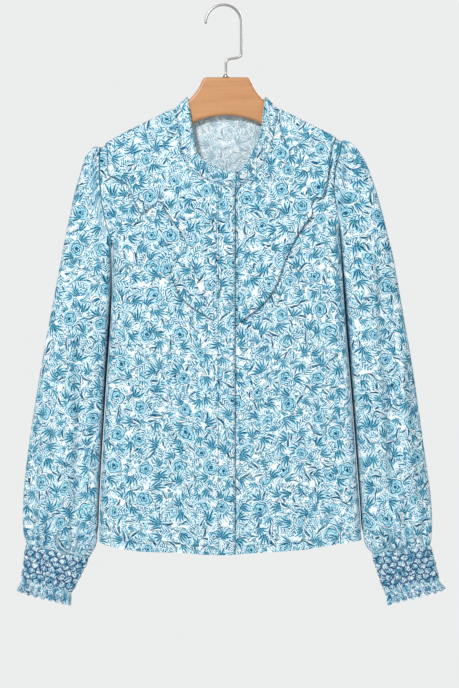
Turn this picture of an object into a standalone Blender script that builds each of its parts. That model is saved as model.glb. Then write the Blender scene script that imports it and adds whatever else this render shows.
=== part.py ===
"""A long-sleeved blouse hanging flat on a wooden hanger.

All sizes are millimetres, turned into metres as each mesh is made. X runs towards the wearer's left,
Y from front to back and Z up. The origin is the inside top of the hook, where a rail carries it. A "drop"
is a distance below the origin. Each cloth piece is a wall between an outer and an inner grid of points.
"""
import math

import bmesh
import bpy
import numpy as np

MM = 0.001

RIGHT, LEFT = -1, 1             # the wearer's sides, which are also the signs of X
FRONT, BACK = -1, 1             # the signs of Y

WALL = 1.3                      # cloth
BAND_WALL = 1.5                 # collar stand, two layers of cloth
SEAM = 0.3                      # space left between pieces that are sewn together
NECK_SEAM = 0.6                 # the same, where the leaning stand meets the body
ARMHOLE_SEAM = 0.7              # the same, where the gathered sleeve head meets the body
SLEEVE_GAP = 1.0                # between the hanging sleeve and the side of the body
LAP = 1.9                       # how far the under front lies behind the upper one
BAND_LAP = 3.0                  # the same at the collar stand

HANGER_X = 3.6                  # the hanger's middle, a little to one side of the hook's top
HANGER_THICKNESS = 12.0
HANGER_REST = 2.45              # from the shoulder line down to the wood under it
TOP_ROUND = 7.0                 # how far below the shoulder line the cloth has turned to hang flat
SIDE_ROUND = 15.0               # the same, in from the side seam
SIDE_COLUMNS = SIDE_ROUND * (1 - np.cos(np.radians([90, 66, 42, 20, 0])))
OUTRUN = 0.9                    # how fast that rounding leaves the body above the underarm
SETTLED_FALL = 0.4              # share of the way to the hem where a body piece's columns hang straight
TOP_SPREAD = 3                  # power that keeps the columns of the shoulder and neck together above that
SHOULDER_COLUMNS = 5
SHARP_ANGLE = math.radians(50)

UPPER_EDGE_X = 16.7             # edge of the right front, which laps over
UNDER_EDGE_X = -6.0             # edge of the left front, underneath
LAP_START_X, LAP_FULL_X = 42.0, 24.5

PLACKET_LEFT_X, PLACKET_RIGHT_X = 15.0, -9.7
PLACKET_TOP = 1.2               # its top end below the neck seam
PLACKET_ROWS, PLACKET_COLUMNS = 20, 3
FLOUNCE_WALL = 1.2
FLOUNCE_CURL = 1.6              # power by which a flounce lifts towards its edge
TURN_CLEARANCE = 1.1            # extra room for a flounce where it turns over the shoulder

HOOK_WIRE = 3.5
HOOK_SIDES = 8
HOOK_RADIUS = 25.7
HOOK_CENTRE = (-0.7, 24.0)      # x and drop of the middle of the hook's bend
FERRULE_RADIUS, FERRULE_HEIGHT = 4.5, 3.0

BUTTON_RADIUS, BUTTON_THICKNESS = 5.75, 2.2
BUTTON_SIDES = 16
BUTTON_SHIFT = 0.28             # share of a column by which it lies past the upper end of the stand
BUTTON_CLEARANCE = 0.8


def table(columns, *rows):
    """Return a short table as one array for each named column."""
    return dict(zip(columns.split(), np.array(rows, dtype=float).T))


# Half of the depth from front to back.
DEPTH = table("drop half",
              (100, 8.5), (160, 9.0), (200, 11.0), (250, 15.0), (320, 18.0), (450, 20.0), (620, 22.0),
              (800, 23.0))

# The shoulder line, at a reach either way from the hanger's middle.
SHOULDER = table("reach drop",
                 (0, 106.0), (40, 128.0), (76, 149.5), (95, 159.5), (125, 174.5), (155, 189.5), (182, 206.0))

# Side seams, from the underarms to the hem.
SIDES = table("drop right left",
              (322, -161.0, 167.5), (370, -161.8, 170.5), (426, -162.6, 174.2), (484, -166.0, 178.2),
              (542, -169.7, 182.6), (600, -173.1, 187.1), (658, -176.5, 191.4), (716, -179.6, 195.8),
              (778, -181.5, 199.8))

HEM = table("x drop",
            (-181.5, 776.0), (-156.0, 783.0), (-121.0, 788.5), (-70.0, 790.5), (0.0, 794.0), (52.0, 790.5),
            (87.0, 788.5), (122.0, 785.5), (157.0, 779.5), (199.8, 773.0))

# Armhole seams, from the shoulder point to the underarm.
ARMHOLE = {
    RIGHT: table("x drop", (-178.4, 205.0), (-178.8, 235.0), (-178.0, 262.0), (-175.0, 290.0),
                 (-169.5, 315.0), (-164.0, 335.0), (-161.3, 347.0)),
    LEFT: table("x drop", (169.7, 195.8), (166.5, 214.0), (161.5, 230.0), (158.5, 250.0), (158.8, 272.0),
                (162.4, 296.0), (165.4, 311.0), (167.5, 324.0)),
}
# Shares of the armhole's length where its seam has a point, closer together where the cloth turns.
ARMHOLE_STEPS = np.array([0, 0.01, 0.035, 0.08, 0.16, 0.27, 0.40, 0.54, 0.68, 0.81, 0.91, 0.97, 1])
SIDE_STEPS = 9

# Neck seam, and the stand's top edge above it, from the shoulder to the closing edge.
NECK = {
    RIGHT: table("seam_x seam_drop top_x top_y top_drop",
                 (-72.5, 149.5, -53.5, 0.0, 131.5), (-71.6, 151.3, -53.2, -4.5, 132.8),
                 (-69.5, 155.0, -52.3, -9.0, 136.5),
                 (-66.5, 173.0, -48.6, -13.0, 158.0), (-62.5, 200.0, -45.2, -17.5, 186.0),
                 (-55.5, 226.0, -40.0, -20.5, 212.0), (-40.0, 245.0, -27.5, -22.5, 227.0),
                 (-14.0, 257.0, -8.7, -23.5, 235.3), (16.7, 263.5, 16.7, -23.5, 241.5)),
    LEFT: table("seam_x seam_drop top_x top_y top_drop",
                (79.8, 149.5, 60.3, 0.0, 131.0), (78.9, 151.3, 60.1, -4.5, 132.6),
                (76.8, 155.0, 59.5, -9.0, 136.5),
                (74.5, 171.0, 56.6, -14.0, 158.0), (72.0, 191.0, 53.8, -17.0, 180.0),
                (65.5, 211.0, 47.5, -19.5, 199.0), (50.0, 240.5, 34.8, -22.0, 224.5),
                (24.0, 262.5, 19.5, -23.5, 241.5), (-3.0, 260.5, -3.0, -23.0, 239.0)),
}
BACK_NECK = table("seam_x seam_drop top_x top_y top_drop",
                  (-71.6, 151.3, -53.0, 4.8, 132.3), (-69.5, 154.5, -51.5, 8.5, 134.0),
                  (-56.0, 157.0, -42.0, 11.0, 135.0), (-28.0, 157.0, -22.0, 12.0, 134.5),
                  (3.6, 157.0, 3.6, 12.5, 134.0),
                  (35.0, 157.0, 29.0, 12.0, 134.5), (63.0, 157.0, 49.0, 11.0, 135.0),
                  (76.8, 154.5, 58.7, 8.5, 134.0), (78.9, 151.3, 60.0, 4.8, 131.9))

# Sleeve sections: outer end of each on the outline, and how far down its inner end lies. The last two, below
# the hem, also state the inner x. "half" is half of the depth, and "keep" is how much of the armhole's shape
# the section still has.
SLEEVE = {
    RIGHT: table("outer_x outer_drop inner_drop inner_x half keep",
                 (-188.5, 206.5, 354, 0, 17.0, .86), (-200.0, 219.0, 363, 0, 17.2, .68),
                 (-206.6, 238.0, 377, 0, 17.4, .50), (-216.0, 270.0, 397, 0, 17.5, .32),
                 (-224.8, 310.3, 426, 0, 17.6, .16), (-234.9, 361.0, 458, 0, 17.7, .06),
                 (-244.3, 411.8, 496, 0, 17.8, 0), (-254.5, 464.0, 538, 0, 18.0, 0),
                 (-263.9, 516.2, 579, 0, 18.0, 0), (-272.6, 568.4, 619, 0, 18.5, 0),
                 (-280.6, 620.6, 661, 0, 19.0, 0), (-286.4, 665.6, 696, 0, 19.5, 0),
                 (-290.4, 704.7, 728, 0, 20.0, 0), (-291.5, 736.6, 754, 0, 19.5, 0),
                 (-291.0, 759.8, 777, 0, 18.0, 0), (-287.8, 774.3, 792, -190.7, 15.0, 0),
                 (-285.9, 779.6, 800.6, -196.3, 12.0, 0)),
    LEFT: table("outer_x outer_drop inner_drop inner_x half keep",
                (179.0, 197.0, 332, 0, 17.0, .80), (191.4, 206.0, 342, 0, 17.2, .62),
                (203.7, 223.3, 355, 0, 17.4, .44), (214.6, 249.4, 375, 0, 17.5, .28),
                (224.8, 281.3, 402, 0, 17.6, .16), (234.2, 319.0, 431, 0, 17.7, .06),
                (245.1, 362.5, 467, 0, 17.8, 0), (253.8, 411.8, 505, 0, 18.0, 0),
                (262.5, 461.1, 542, 0, 18.0, 0), (271.2, 510.4, 583, 0, 18.5, 0),
                (279.1, 562.6, 621, 0, 19.0, 0), (286.4, 614.8, 661, 0, 19.5, 0),
                (292.9, 661.2, 696, 0, 20.0, 0), (298.7, 701.8, 728, 0, 19.5, 0),
                (301.6, 740.0, 756, 0, 18.5, 0), (301.0, 768.5, 780, 204.5, 15.5, 0),
                (298.7, 781.0, 793.0, 214.6, 12.0, 0)),
}
SLEEVE_SQUARE = 0.72            # below 1 the section is flatter than an oval
ARMHOLE_HALF = 17.0             # half of the depth at the armhole, which "keep" passes on to the sleeve
SLEEVE_GATHERS = 7              # soft pleats above each cuff, front and back alike
SLEEVE_GATHER_LIFT = 2.2
SLEEVE_GATHER_REACH = 75.0      # how far above the cuff they run
SLEEVE_GATHER_END = 0.35        # share of their height left at the cuff's seam
UNDERARM_START = 0.5            # share of the armhole where the sleeve's edge begins to turn under the arm
UNDERARM_SPAN = 0.35

# Cuffs: the ends of three sections, at the smocking's top, at its foot and at the frill's edge.
CUFF = {
    RIGHT: table("outer_x outer_drop inner_x inner_drop half",
                 (-286.0, 780.0, -196.5, 801.0, 12.0), (-293.3, 833.0, -221.5, 851.0, 11.0),
                 (-299.5, 847.5, -222.5, 868.0, 13.5)),
    LEFT: table("outer_x outer_drop inner_x inner_drop half",
                (298.8, 781.4, 214.7, 793.4, 12.0), (311.5, 832.5, 233.0, 849.5, 11.0),
                (318.5, 846.0, 240.5, 866.0, 13.5)),
}
CUFF_SIDES = 32                 # columns round a cuff, evenly apart, two for each bubble
CUFF_SQUARE = 0.8
SMOCK_ROWS = 7
SMOCK_LIFT = 2.0
FRILL_STEPS = 3
FRILL_WAVE = 2.6

# Flounces, a row for each section across them: its end at the neck or the closing, its end at the free
# edge, and how far that edge lifts off the chest.
FLOUNCE = {
    RIGHT: table("inner_x inner_drop edge_x edge_drop lift",
                 (-74.4, 150.6, -170.0, 200.9, 0.3), (-74.0, 152.0, -170.0, 202.6, 0.6),
                 (-72.6, 155.4, -169.6, 206.5, 1.2), (-70.6, 161.0, -169.0, 214.0, 3.0),
                 (-69.3, 170.0, -168.0, 230.0, 5.0), (-68.0, 180.0, -167.0, 246.0, 4.0),
                 (-66.5, 191.0, -156.0, 251.5, 1.5), (-64.8, 202.0, -142.0, 259.0, 3.0),
                 (-62.2, 213.0, -133.0, 276.0, 8.0), (-58.8, 222.5, -121.0, 301.0, 9.0),
                 (-54.0, 232.0, -104.0, 292.0, 4.0), (-46.5, 241.0, -94.0, 285.0, 0.8),
                 (-36.0, 249.0, -84.0, 299.0, 4.0), (-17.0, 258.6, -66.0, 325.0, 8.0),
                 (-10.8, 276.0, -55.0, 345.0, 4.0), (-10.8, 302.0, -57.0, 357.0, 1.0),
                 (-10.8, 330.0, -76.0, 383.0, 6.0), (-10.8, 360.0, -73.0, 402.0, 7.0),
                 (-10.8, 392.0, -58.0, 428.0, 5.0), (-10.8, 425.0, -34.0, 446.0, 3.0),
                 (-10.8, 452.0, -15.0, 457.0, 1.0)),
    LEFT: table("inner_x inner_drop edge_x edge_drop lift",
                (81.7, 150.6, 161.0, 192.9, 0.3), (81.2, 152.0, 160.5, 194.6, 0.6),
                (79.8, 155.4, 159.0, 199.0, 1.2), (78.0, 161.0, 156.0, 208.0, 3.0),
                (76.8, 170.0, 153.5, 222.0, 5.0), (75.6, 180.0, 152.0, 238.0, 6.0),
                (74.2, 190.0, 149.4, 255.0, 7.0), (71.8, 201.0, 143.0, 277.0, 8.0),
                (68.6, 210.0, 133.0, 281.0, 3.0), (64.3, 218.5, 127.0, 290.0, 1.5),
                (59.5, 228.0, 127.5, 303.0, 5.0), (54.5, 236.5, 121.0, 313.0, 7.0),
                (48.5, 244.5, 110.0, 328.0, 6.0), (41.5, 251.5, 98.6, 348.0, 4.0),
                (32.5, 259.5, 88.5, 371.0, 3.0), (21.5, 269.0, 84.0, 383.0, 4.5),
                (20.5, 292.0, 79.8, 397.0, 4.0), (20.5, 325.0, 72.5, 412.0, 5.0),
                (20.5, 360.0, 62.4, 426.0, 5.0), (20.5, 395.0, 48.6, 441.0, 4.0),
                (20.5, 430.0, 36.3, 449.0, 3.0), (20.5, 455.0, 24.5, 459.0, 1.5)),
}
FLOUNCE_STEPS = 6
FLOUNCE_ROWS = 2                # rows of the mesh for each section

# Soft folds of the body and sleeves: a line from one point to another, half width and height.
FOLD_COLUMNS = "x0 drop0 x1 drop1 width lift"
FOLD_START, FOLD_END = 0.25, 0.2        # shares of its length over which a fold rises, and fades past its end
FLAT_BODY, FLAT_SLEEVE = 0.6, 0.45      # share of the full depth at which the cloth is flat enough to fold
FOLDS = {
    FRONT: table(FOLD_COLUMNS,
                 (-158, 262, -156, 345, 7, -3.0), (-120, 480, -140, 790, 26, 2.2),
                 (-66, 420, -72, 790, 22, -1.8), (62, 470, 70, 790, 24, 2.0), (130, 430, 150, 790, 26, -1.8),
                 (100, 400, 120, 640, 20, 1.6)),
    BACK: table(FOLD_COLUMNS,
                (-110, 330, -130, 790, 30, 2.4), (-30, 240, -40, 790, 30, -2.2), (50, 260, 60, 790, 28, 2.2),
                (125, 330, 145, 790, 28, -2.0)),
}
SLEEVE_FOLDS = {
    RIGHT: table(FOLD_COLUMNS,
                 (-190, 222, -190, 262, 6, -2.0), (-220, 470, -222, 645, 10, 3.0),
                 (-222, 645, -230, 775, 9, 2.6), (-250, 560, -262, 740, 12, 2.4)),
    LEFT: table(FOLD_COLUMNS,
                (183, 214, 176, 262, 6, -2.0), (212, 350, 219, 480, 9, 3.0), (219, 480, 231, 680, 10, 2.6),
                (246, 690, 256, 775, 9, 2.6), (252, 480, 268, 690, 14, 2.2)),
}

# Rim of the button, as shares of its radius and thickness.
BUTTON_PROFILE = table("radius height", (0.86, 0.0), (1.0, 0.35), (1.0, 0.75), (0.84, 1.0))

# Half of the hanger's upper edge, at a reach either way from its middle, up to where the shoulder lies on it.
HANGER_CROWN = table("reach drop",
                     (0, 103.7), (30, 103.7), (33.2, 105.3), (35.6, 109.0), (39.0, 117.0), (44.5, 125.5),
                     (50.5, 132.5), (57.0, 139.2), (66.0, 149.0), (76.0, 156.0), (86.0, 160.2))
HANGER_EDGE_STEP = 10.0
HANGER_TIP_REACH = 164.0
HANGER_TIP_RADIUS = 9.5
HANGER_ARCH_TOP = 158.6         # drop of the underside at the middle
HANGER_ARCH_REACH, HANGER_ARCH_FOOT = 51.0, 171.2
HANGER_ARCH_STEPS = 8
HANGER_ROUNDING = 3.6
HANGER_ROUNDING_STEPS = 3
HANGER_CORNER = math.radians(60)

# Middle of the hook's wire, from the ferrule up to the bend.
HOOK_STEM = table("x drop",
                  (2.9, 92.0), (2.9, 84.5), (4.7, 79.2), (9.9, 76.0), (16.9, 74.6), (21.4, 72.6),
                  (24.4, 68.0), (25.0, 61.0), (25.0, 42.0))
HOOK_BEND_END = 180             # degrees
HOOK_BEND_STEP = 15

CLOTH = ((0.68, 0.83, 0.88, 1), 0.75, 0.0)
WOOD = ((0.72, 0.42, 0.19, 1), 0.5, 0.0)
NICKEL = ((0.62, 0.61, 0.58, 1), 0.25, 1.0)
PEARL = ((0.85, 0.86, 0.84, 1), 0.3, 0.0)


def along(xs, ys, x):
    """Smooth curve through the points (xs, ys), with xs rising."""
    slopes = np.gradient(ys, xs)
    i = np.clip(np.searchsorted(xs, x) - 1, 0, len(xs) - 2)
    span = xs[i + 1] - xs[i]
    t = np.clip((x - xs[i]) / span, 0, 1)
    start = (2 * t**3 - 3 * t**2 + 1) * ys[i] + (t**3 - 2 * t**2 + t) * span * slopes[i]
    return start + (3 * t**2 - 2 * t**3) * ys[i + 1] + (t**3 - t**2) * span * slopes[i + 1]


def step_up(t):
    """Ease from 0 to 1 as t runs from 0 to 1."""
    t = np.clip(t, 0, 1)
    return t * t * (3 - 2 * t)


def shares(points):
    """Share of a polyline's length at each of its points."""
    lengths = np.concatenate([[0], np.cumsum(np.linalg.norm(np.diff(points, axis=0), axis=1))])
    return lengths / lengths[-1]


def shoulder_drop(x):
    return along(SHOULDER["reach"], SHOULDER["drop"], np.abs(x - HANGER_X))


def side_x(side, drop):
    """Side seam, run on outwards above the underarm so that the body stays flat across the armhole."""
    column = "right" if side == RIGHT else "left"
    underarm = ARMHOLE[side]["drop"][-1]
    return along(SIDES["drop"], SIDES[column], drop) + side * OUTRUN * np.maximum(underarm - drop, 0)


def folds(x, drop, rows):
    """Height of the soft folds at a place: each is a ridge or trough round its line, fading at the ends."""
    height = np.zeros_like(x)
    for x0, drop0, x1, drop1, width, lift in zip(*rows.values()):
        length = math.hypot(x1 - x0, drop1 - drop0)
        along_line = ((x - x0) * (x1 - x0) + (drop - drop0) * (drop1 - drop0)) / length**2
        off_line = ((x - x0) * (drop1 - drop0) - (drop - drop0) * (x1 - x0)) / length
        fade = step_up(along_line / FOLD_START) * (1 - step_up((along_line - 1) / FOLD_END))
        height += lift * fade * np.exp(-(off_line / width)**2)
    return height


def skin(x, drop, facing):
    """Outer face of the body: points and their outward normals, for arrays of x and drop.

    The front and back are pillows that turn in to the shoulder line and to the side seams.
    """
    below = np.clip((drop - shoulder_drop(x)) / TOP_ROUND, 0, 1)
    from_right = np.clip((x - side_x(RIGHT, drop)) / SIDE_ROUND, 0, 1)
    from_left = np.clip((side_x(LEFT, drop) - x) / SIDE_ROUND, 0, 1)
    top = np.sqrt(1 - (1 - below)**2)
    sides = np.sqrt(1 - (1 - from_right)**2) * np.sqrt(1 - (1 - from_left)**2)
    half = along(DEPTH["drop"], DEPTH["half"], drop)
    slope = shoulder_drop(x + 0.5) - shoulder_drop(x - 0.5)
    upward = half * sides**2 * (1 - below) / TOP_ROUND
    sideways = half * top**2 * (from_right - from_left) / SIDE_ROUND + upward * slope
    normal = np.stack([sideways, facing * top * sides, upward], axis=-1)
    normal /= np.linalg.norm(normal, axis=-1, keepdims=True)
    points = np.stack([x, facing * (SEAM / 2 + half * top * sides), -drop], axis=-1)
    flat = step_up((top * sides - FLAT_BODY) / (1 - FLAT_BODY))
    return points + normal * (folds(x, drop, FOLDS[facing]) * flat)[..., None], normal


def lapped(points, normals):
    """Sink the under front behind the upper one."""
    sink = LAP * step_up((LAP_START_X - points[..., 0]) / (LAP_START_X - LAP_FULL_X))
    return points - normals * sink[..., None]


def grid_normals(grid, wrap):
    """Unit normals of a grid of points, from its rows and columns."""
    down = np.gradient(grid, axis=0)
    if wrap:
        across = np.roll(grid, -1, axis=1) - np.roll(grid, 1, axis=1)
    else:
        across = np.gradient(grid, axis=1)
    normal = np.cross(down, across)
    return normal / np.linalg.norm(normal, axis=-1, keepdims=True)


def grid_faces(first, rows, columns, wrap, flip):
    faces = []
    for i in range(rows - 1):
        for j in range(columns if wrap else columns - 1):
            k = (j + 1) % columns
            a, b = first + i * columns + j, first + i * columns + k
            quad = (a, b, b + columns, a + columns)
            faces.append(quad[::-1] if flip else quad)
    return faces


def wall(outer, inner, wrap=False):
    """Join an outer and an inner grid along their edges into one closed wall."""
    rows, columns = outer.shape[:2]
    inner_rows = inner.shape[0]
    second = rows * columns
    points = np.concatenate([outer.reshape(-1, 3), inner.reshape(-1, 3)])
    faces = grid_faces(0, rows, columns, wrap, False) + grid_faces(second, inner_rows, columns, wrap, True)
    last, inner_last = (rows - 1) * columns, second + (inner_rows - 1) * columns
    for j in range(columns if wrap else columns - 1):
        k = (j + 1) % columns
        faces.append((k, j, second + j, second + k))
        faces.append((last + j, last + k, inner_last + k, inner_last + j))
    if not wrap:
        for i in range(rows - 1):
            a, b = i * columns, (i + 1) * columns
            faces.append((a, b, second + b, second + a))
            a, b = a + columns - 1, b + columns - 1
            faces.append((b, a, second + a, second + b))
    return points, faces


def add_piece(name, points, faces, finish, smooth=True):
    mesh = bpy.data.meshes.new(name)
    mesh.from_pydata((np.asarray(points) * MM).tolist(), [], faces)
    shell = bmesh.new()
    shell.from_mesh(mesh)
    bmesh.ops.recalc_face_normals(shell, faces=shell.faces)
    shell.to_mesh(mesh)
    shell.free()
    if smooth:
        mesh.shade_smooth()
        mesh.set_sharp_from_angle(angle=SHARP_ANGLE)
    colour, roughness, metallic = finish
    material = bpy.data.materials.new(name)
    material.use_nodes = True
    shader = material.node_tree.nodes["Principled BSDF"]
    shader.inputs["Base Color"].default_value = colour
    shader.inputs["Roughness"].default_value = roughness
    shader.inputs["Metallic"].default_value = metallic
    mesh.materials.append(material)
    piece = bpy.data.objects.new(name, mesh)
    bpy.context.scene.collection.objects.link(piece)
    return piece


def armhole_points(side):
    """x and drop at each step of an armhole seam."""
    rows = ARMHOLE[side]
    share = shares(np.stack([rows["x"], rows["drop"]], axis=1))
    return along(share, rows["x"], ARMHOLE_STEPS), along(share, rows["drop"], ARMHOLE_STEPS)


def side_boundary(side):
    """x and drop down the side of a body piece: the armhole seam, then the side seam."""
    x, drop = armhole_points(side)
    hem = HEM["drop"][0 if side == RIGHT else -1]
    seam_drop = drop[-1] + (hem - drop[-1]) * np.arange(1, SIDE_STEPS + 1) / SIDE_STEPS
    return np.concatenate([x, side_x(side, seam_drop)]), np.concatenate([drop, seam_drop])


def neck_edge(x, drop):
    """The neck seam of a body piece, moved away from the neck by a seam's width."""
    tangent = np.stack([np.gradient(x), np.gradient(drop)], axis=1)
    away = np.stack([tangent[:, 1], -tangent[:, 0]], axis=1) / np.linalg.norm(tangent, axis=1, keepdims=True)
    outward = np.stack([x - HANGER_X, drop - SHOULDER["drop"][0]], axis=1)
    away *= np.sign(np.sum(away * outward, axis=1, keepdims=True))
    return x + NECK_SEAM * away[:, 0], drop + NECK_SEAM * away[:, 1]


def shoulder_columns(side):
    """x along the shoulder line, from just outside the neck seam to the shoulder point."""
    end = ARMHOLE[side]["x"][0]
    start = NECK[side]["seam_x"][0] + side * NECK_SEAM
    even = np.linspace(start, end - side * SIDE_ROUND, SHOULDER_COLUMNS)
    return np.concatenate([even, end - side * SIDE_COLUMNS[1:]])


def body_grid(top_x, top_drop, edges, share):
    """x and drop of a body piece's grid, where share runs from the first of its two edges to the second."""
    (x0, drop0), (x1, drop1) = edges
    fall0 = (drop0 - drop0[0]) / (drop0[-1] - drop0[0])
    fall1 = (drop1 - drop1[0]) / (drop1[-1] - drop1[0])
    settled = step_up((fall0 + fall1) / 2 / SETTLED_FALL)[:, None]
    top_share = (top_x - top_x[0]) / (top_x[-1] - top_x[0])
    upper = top_x[None, :] + np.outer(x0 - x0[0], (1 - top_share)**TOP_SPREAD)
    upper += np.outer(x1 - x1[0], top_share**TOP_SPREAD)
    lower = x0[:, None] + np.outer(x1 - x0, share)
    x = (1 - settled) * upper + settled * lower
    where = (1 - settled) * top_share[None, :] + settled * share[None, :]
    fall = fall0[:, None] + (fall1 - fall0)[:, None] * where
    hem_drop = along(HEM["x"], HEM["drop"], x[-1])
    return x, top_drop[None, :] + (hem_drop - top_drop)[None, :] * fall


def front_piece(name, side, edge_x):
    """One front, from its closing edge to its armhole and side seam."""
    neck_x, neck_drop = (row[::-1].copy() for row in neck_edge(NECK[side]["seam_x"], NECK[side]["seam_drop"]))
    neck_x[0] = edge_x
    shoulder_x = shoulder_columns(side)
    top_x = np.concatenate([neck_x[:-1], shoulder_x])
    top_drop = np.concatenate([neck_drop[:-1], shoulder_drop(shoulder_x)])
    side_edge = side_boundary(side)
    flat_columns = len(top_x) - len(SIDE_COLUMNS[1:])
    flat = np.linspace(edge_x, side_edge[0][-1] - side * SIDE_ROUND, flat_columns)
    low_x = np.concatenate([flat, side_edge[0][-1] - side * SIDE_COLUMNS[1:]])
    share = (low_x - low_x[0]) / (low_x[-1] - low_x[0])
    fall = (side_edge[1] - side_edge[1][0]) / (side_edge[1][-1] - side_edge[1][0])
    closing = (np.full(len(fall), edge_x), fall)
    x, drop = body_grid(top_x, top_drop, (closing, side_edge), share)
    points, normals = skin(x, drop, FRONT)
    if side == LEFT:
        points = lapped(points, normals)
    add_piece(name, *wall(points, points - normals * WALL), CLOTH)


def back_piece():
    right_x, left_x = shoulder_columns(RIGHT)[::-1], shoulder_columns(LEFT)
    neck_x, neck_drop = neck_edge(BACK_NECK["seam_x"], BACK_NECK["seam_drop"])
    top_x = np.concatenate([right_x, neck_x, left_x])
    top_drop = np.concatenate([shoulder_drop(right_x), neck_drop, shoulder_drop(left_x)])
    edges = side_boundary(RIGHT), side_boundary(LEFT)
    start, end = edges[0][0][-1], edges[1][0][-1]
    flat_columns = len(top_x) - 2 * len(SIDE_COLUMNS[1:])
    flat = np.linspace(start + SIDE_ROUND, end - SIDE_ROUND, flat_columns)
    low_x = np.concatenate([start + SIDE_COLUMNS[:0:-1], flat, end - SIDE_COLUMNS[1:]])
    share = (low_x - start) / (end - start)
    x, drop = body_grid(top_x, top_drop, edges, share)
    points, normals = skin(x, drop, BACK)
    add_piece("back", *wall(points, points - normals * WALL), CLOTH)


def placket():
    """The strip along the upper front's edge, lying on that front."""
    x = np.linspace(PLACKET_LEFT_X, PLACKET_RIGHT_X, PLACKET_COLUMNS)
    top = along(NECK[RIGHT]["seam_x"], NECK[RIGHT]["seam_drop"], x) + PLACKET_TOP
    bottom = along(HEM["x"], HEM["drop"], x)
    fall = np.linspace(0, 1, PLACKET_ROWS)[:, None]
    drop = top[None, :] + (bottom - top)[None, :] * fall
    points, normals = skin(np.broadcast_to(x, drop.shape), drop, FRONT)
    inner = points + normals * SEAM
    add_piece("placket", *wall(inner + normals * WALL, inner), CLOTH)


def flounce(name, side):
    """A cape-like flounce from the neck seam, resting on the chest and lifting at its wavy free edge."""
    sections = np.arange(len(FLOUNCE[side]["lift"]))
    places = np.linspace(0, sections[-1], FLOUNCE_ROWS * sections[-1] + 1)
    rows = {column: along(sections, values, places)[:, None] for column, values in FLOUNCE[side].items()}
    out = np.linspace(0, 1, FLOUNCE_STEPS + 1)[None, :]
    x = rows["inner_x"] + (rows["edge_x"] - rows["inner_x"]) * out
    inner_fall = rows["inner_drop"] - shoulder_drop(rows["inner_x"])
    edge_fall = rows["edge_drop"] - shoulder_drop(rows["edge_x"])
    fall = inner_fall + (edge_fall - inner_fall) * out
    points, normals = skin(x, shoulder_drop(x) + fall, FRONT)
    turning = 1 - step_up(fall / (2 * TOP_ROUND))
    clear = SEAM + TURN_CLEARANCE * turning + rows["lift"] * out**FLOUNCE_CURL
    inner = points + normals * clear[..., None]
    add_piece(name, *wall(inner + normals * FLOUNCE_WALL, inner), CLOTH)


def stand_sections():
    """Seam and top edge of the collar stand, from its upper end round the back to its under end."""
    seam, top = [], []
    for rows, facing in ((NECK[RIGHT], FRONT), (BACK_NECK, BACK), (NECK[LEFT], FRONT)):
        points, normals = skin(rows["seam_x"], rows["seam_drop"], facing)
        edge = np.stack([rows["top_x"], rows["top_y"], -rows["top_drop"]], axis=1)
        if rows is NECK[RIGHT]:
            points, edge = points[::-1], edge[::-1]
        if rows is NECK[LEFT]:
            sink = BAND_LAP * step_up((LAP_START_X - rows["seam_x"]) / (LAP_START_X - LAP_FULL_X))
            points = points - normals * sink[:, None]
            edge[:, 1] += sink
        seam.append(points)
        top.append(edge)
    return np.concatenate(seam), np.concatenate(top)


def collar_stand():
    seam, top = stand_sections()
    up = np.linspace(1, 0, 3)[:, None, None]
    outer = seam[None] * (1 - up) + top[None] * up
    normals = grid_normals(outer, False)
    middle = np.array([HANGER_X, 0, -190.0])
    normals *= np.sign(np.sum(normals * (outer - middle), axis=-1, keepdims=True))
    add_piece("collar_stand", *wall(outer, outer - normals * BAND_WALL), CLOTH)
    return outer, normals


def collar_button(outer, normals):
    """A small button on the part of the stand that runs under, just past the upper end."""
    ends = outer[1, -2], outer[1, -3]
    place = ends[0] + (ends[1] - ends[0]) * BUTTON_SHIFT
    facing = normals[1, -2] * (1 - BUTTON_SHIFT) + normals[1, -3] * BUTTON_SHIFT
    facing /= np.linalg.norm(facing)
    side = np.cross(facing, [0, 0, 1])
    side /= np.linalg.norm(side)
    up = np.cross(side, facing)
    turns = 2 * math.pi * np.arange(BUTTON_SIDES)[:, None] / BUTTON_SIDES
    rim = np.cos(turns) * side + np.sin(turns) * up
    rings = []
    for radius, height in zip(*BUTTON_PROFILE.values()):
        level = place + facing * (BUTTON_CLEARANCE + height * BUTTON_THICKNESS)
        rings.append(level + rim * BUTTON_RADIUS * radius)
    points = np.concatenate(rings)
    faces = grid_faces(0, len(rings), BUTTON_SIDES, True, False)
    faces += [tuple(range(BUTTON_SIDES)), tuple(range(len(points) - BUTTON_SIDES, len(points)))]
    add_piece("collar_button", points, faces, PEARL)


def power(value, exponent):
    return np.sign(value) * np.abs(value)**exponent


def oval(outer_end, inner_end, half, turns, square):
    """One section of a tube: flattened, between two end points, with the front first."""
    middle, reach = (outer_end + inner_end) / 2, (outer_end - inner_end) / 2
    flat = middle + reach * power(np.cos(turns), square)[:, None]
    flat[:, 1] -= half * power(np.sin(turns), square)
    return flat


def even_turns(reach, half, square, count):
    """Turns round an oval at which its points lie evenly apart."""
    turns = np.linspace(0, 2 * math.pi, 40 * count + 1)
    rim = np.stack([reach * power(np.cos(turns), square), half * power(np.sin(turns), square)], axis=1)
    return np.interp(np.arange(count) / count, shares(rim), turns)


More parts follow.
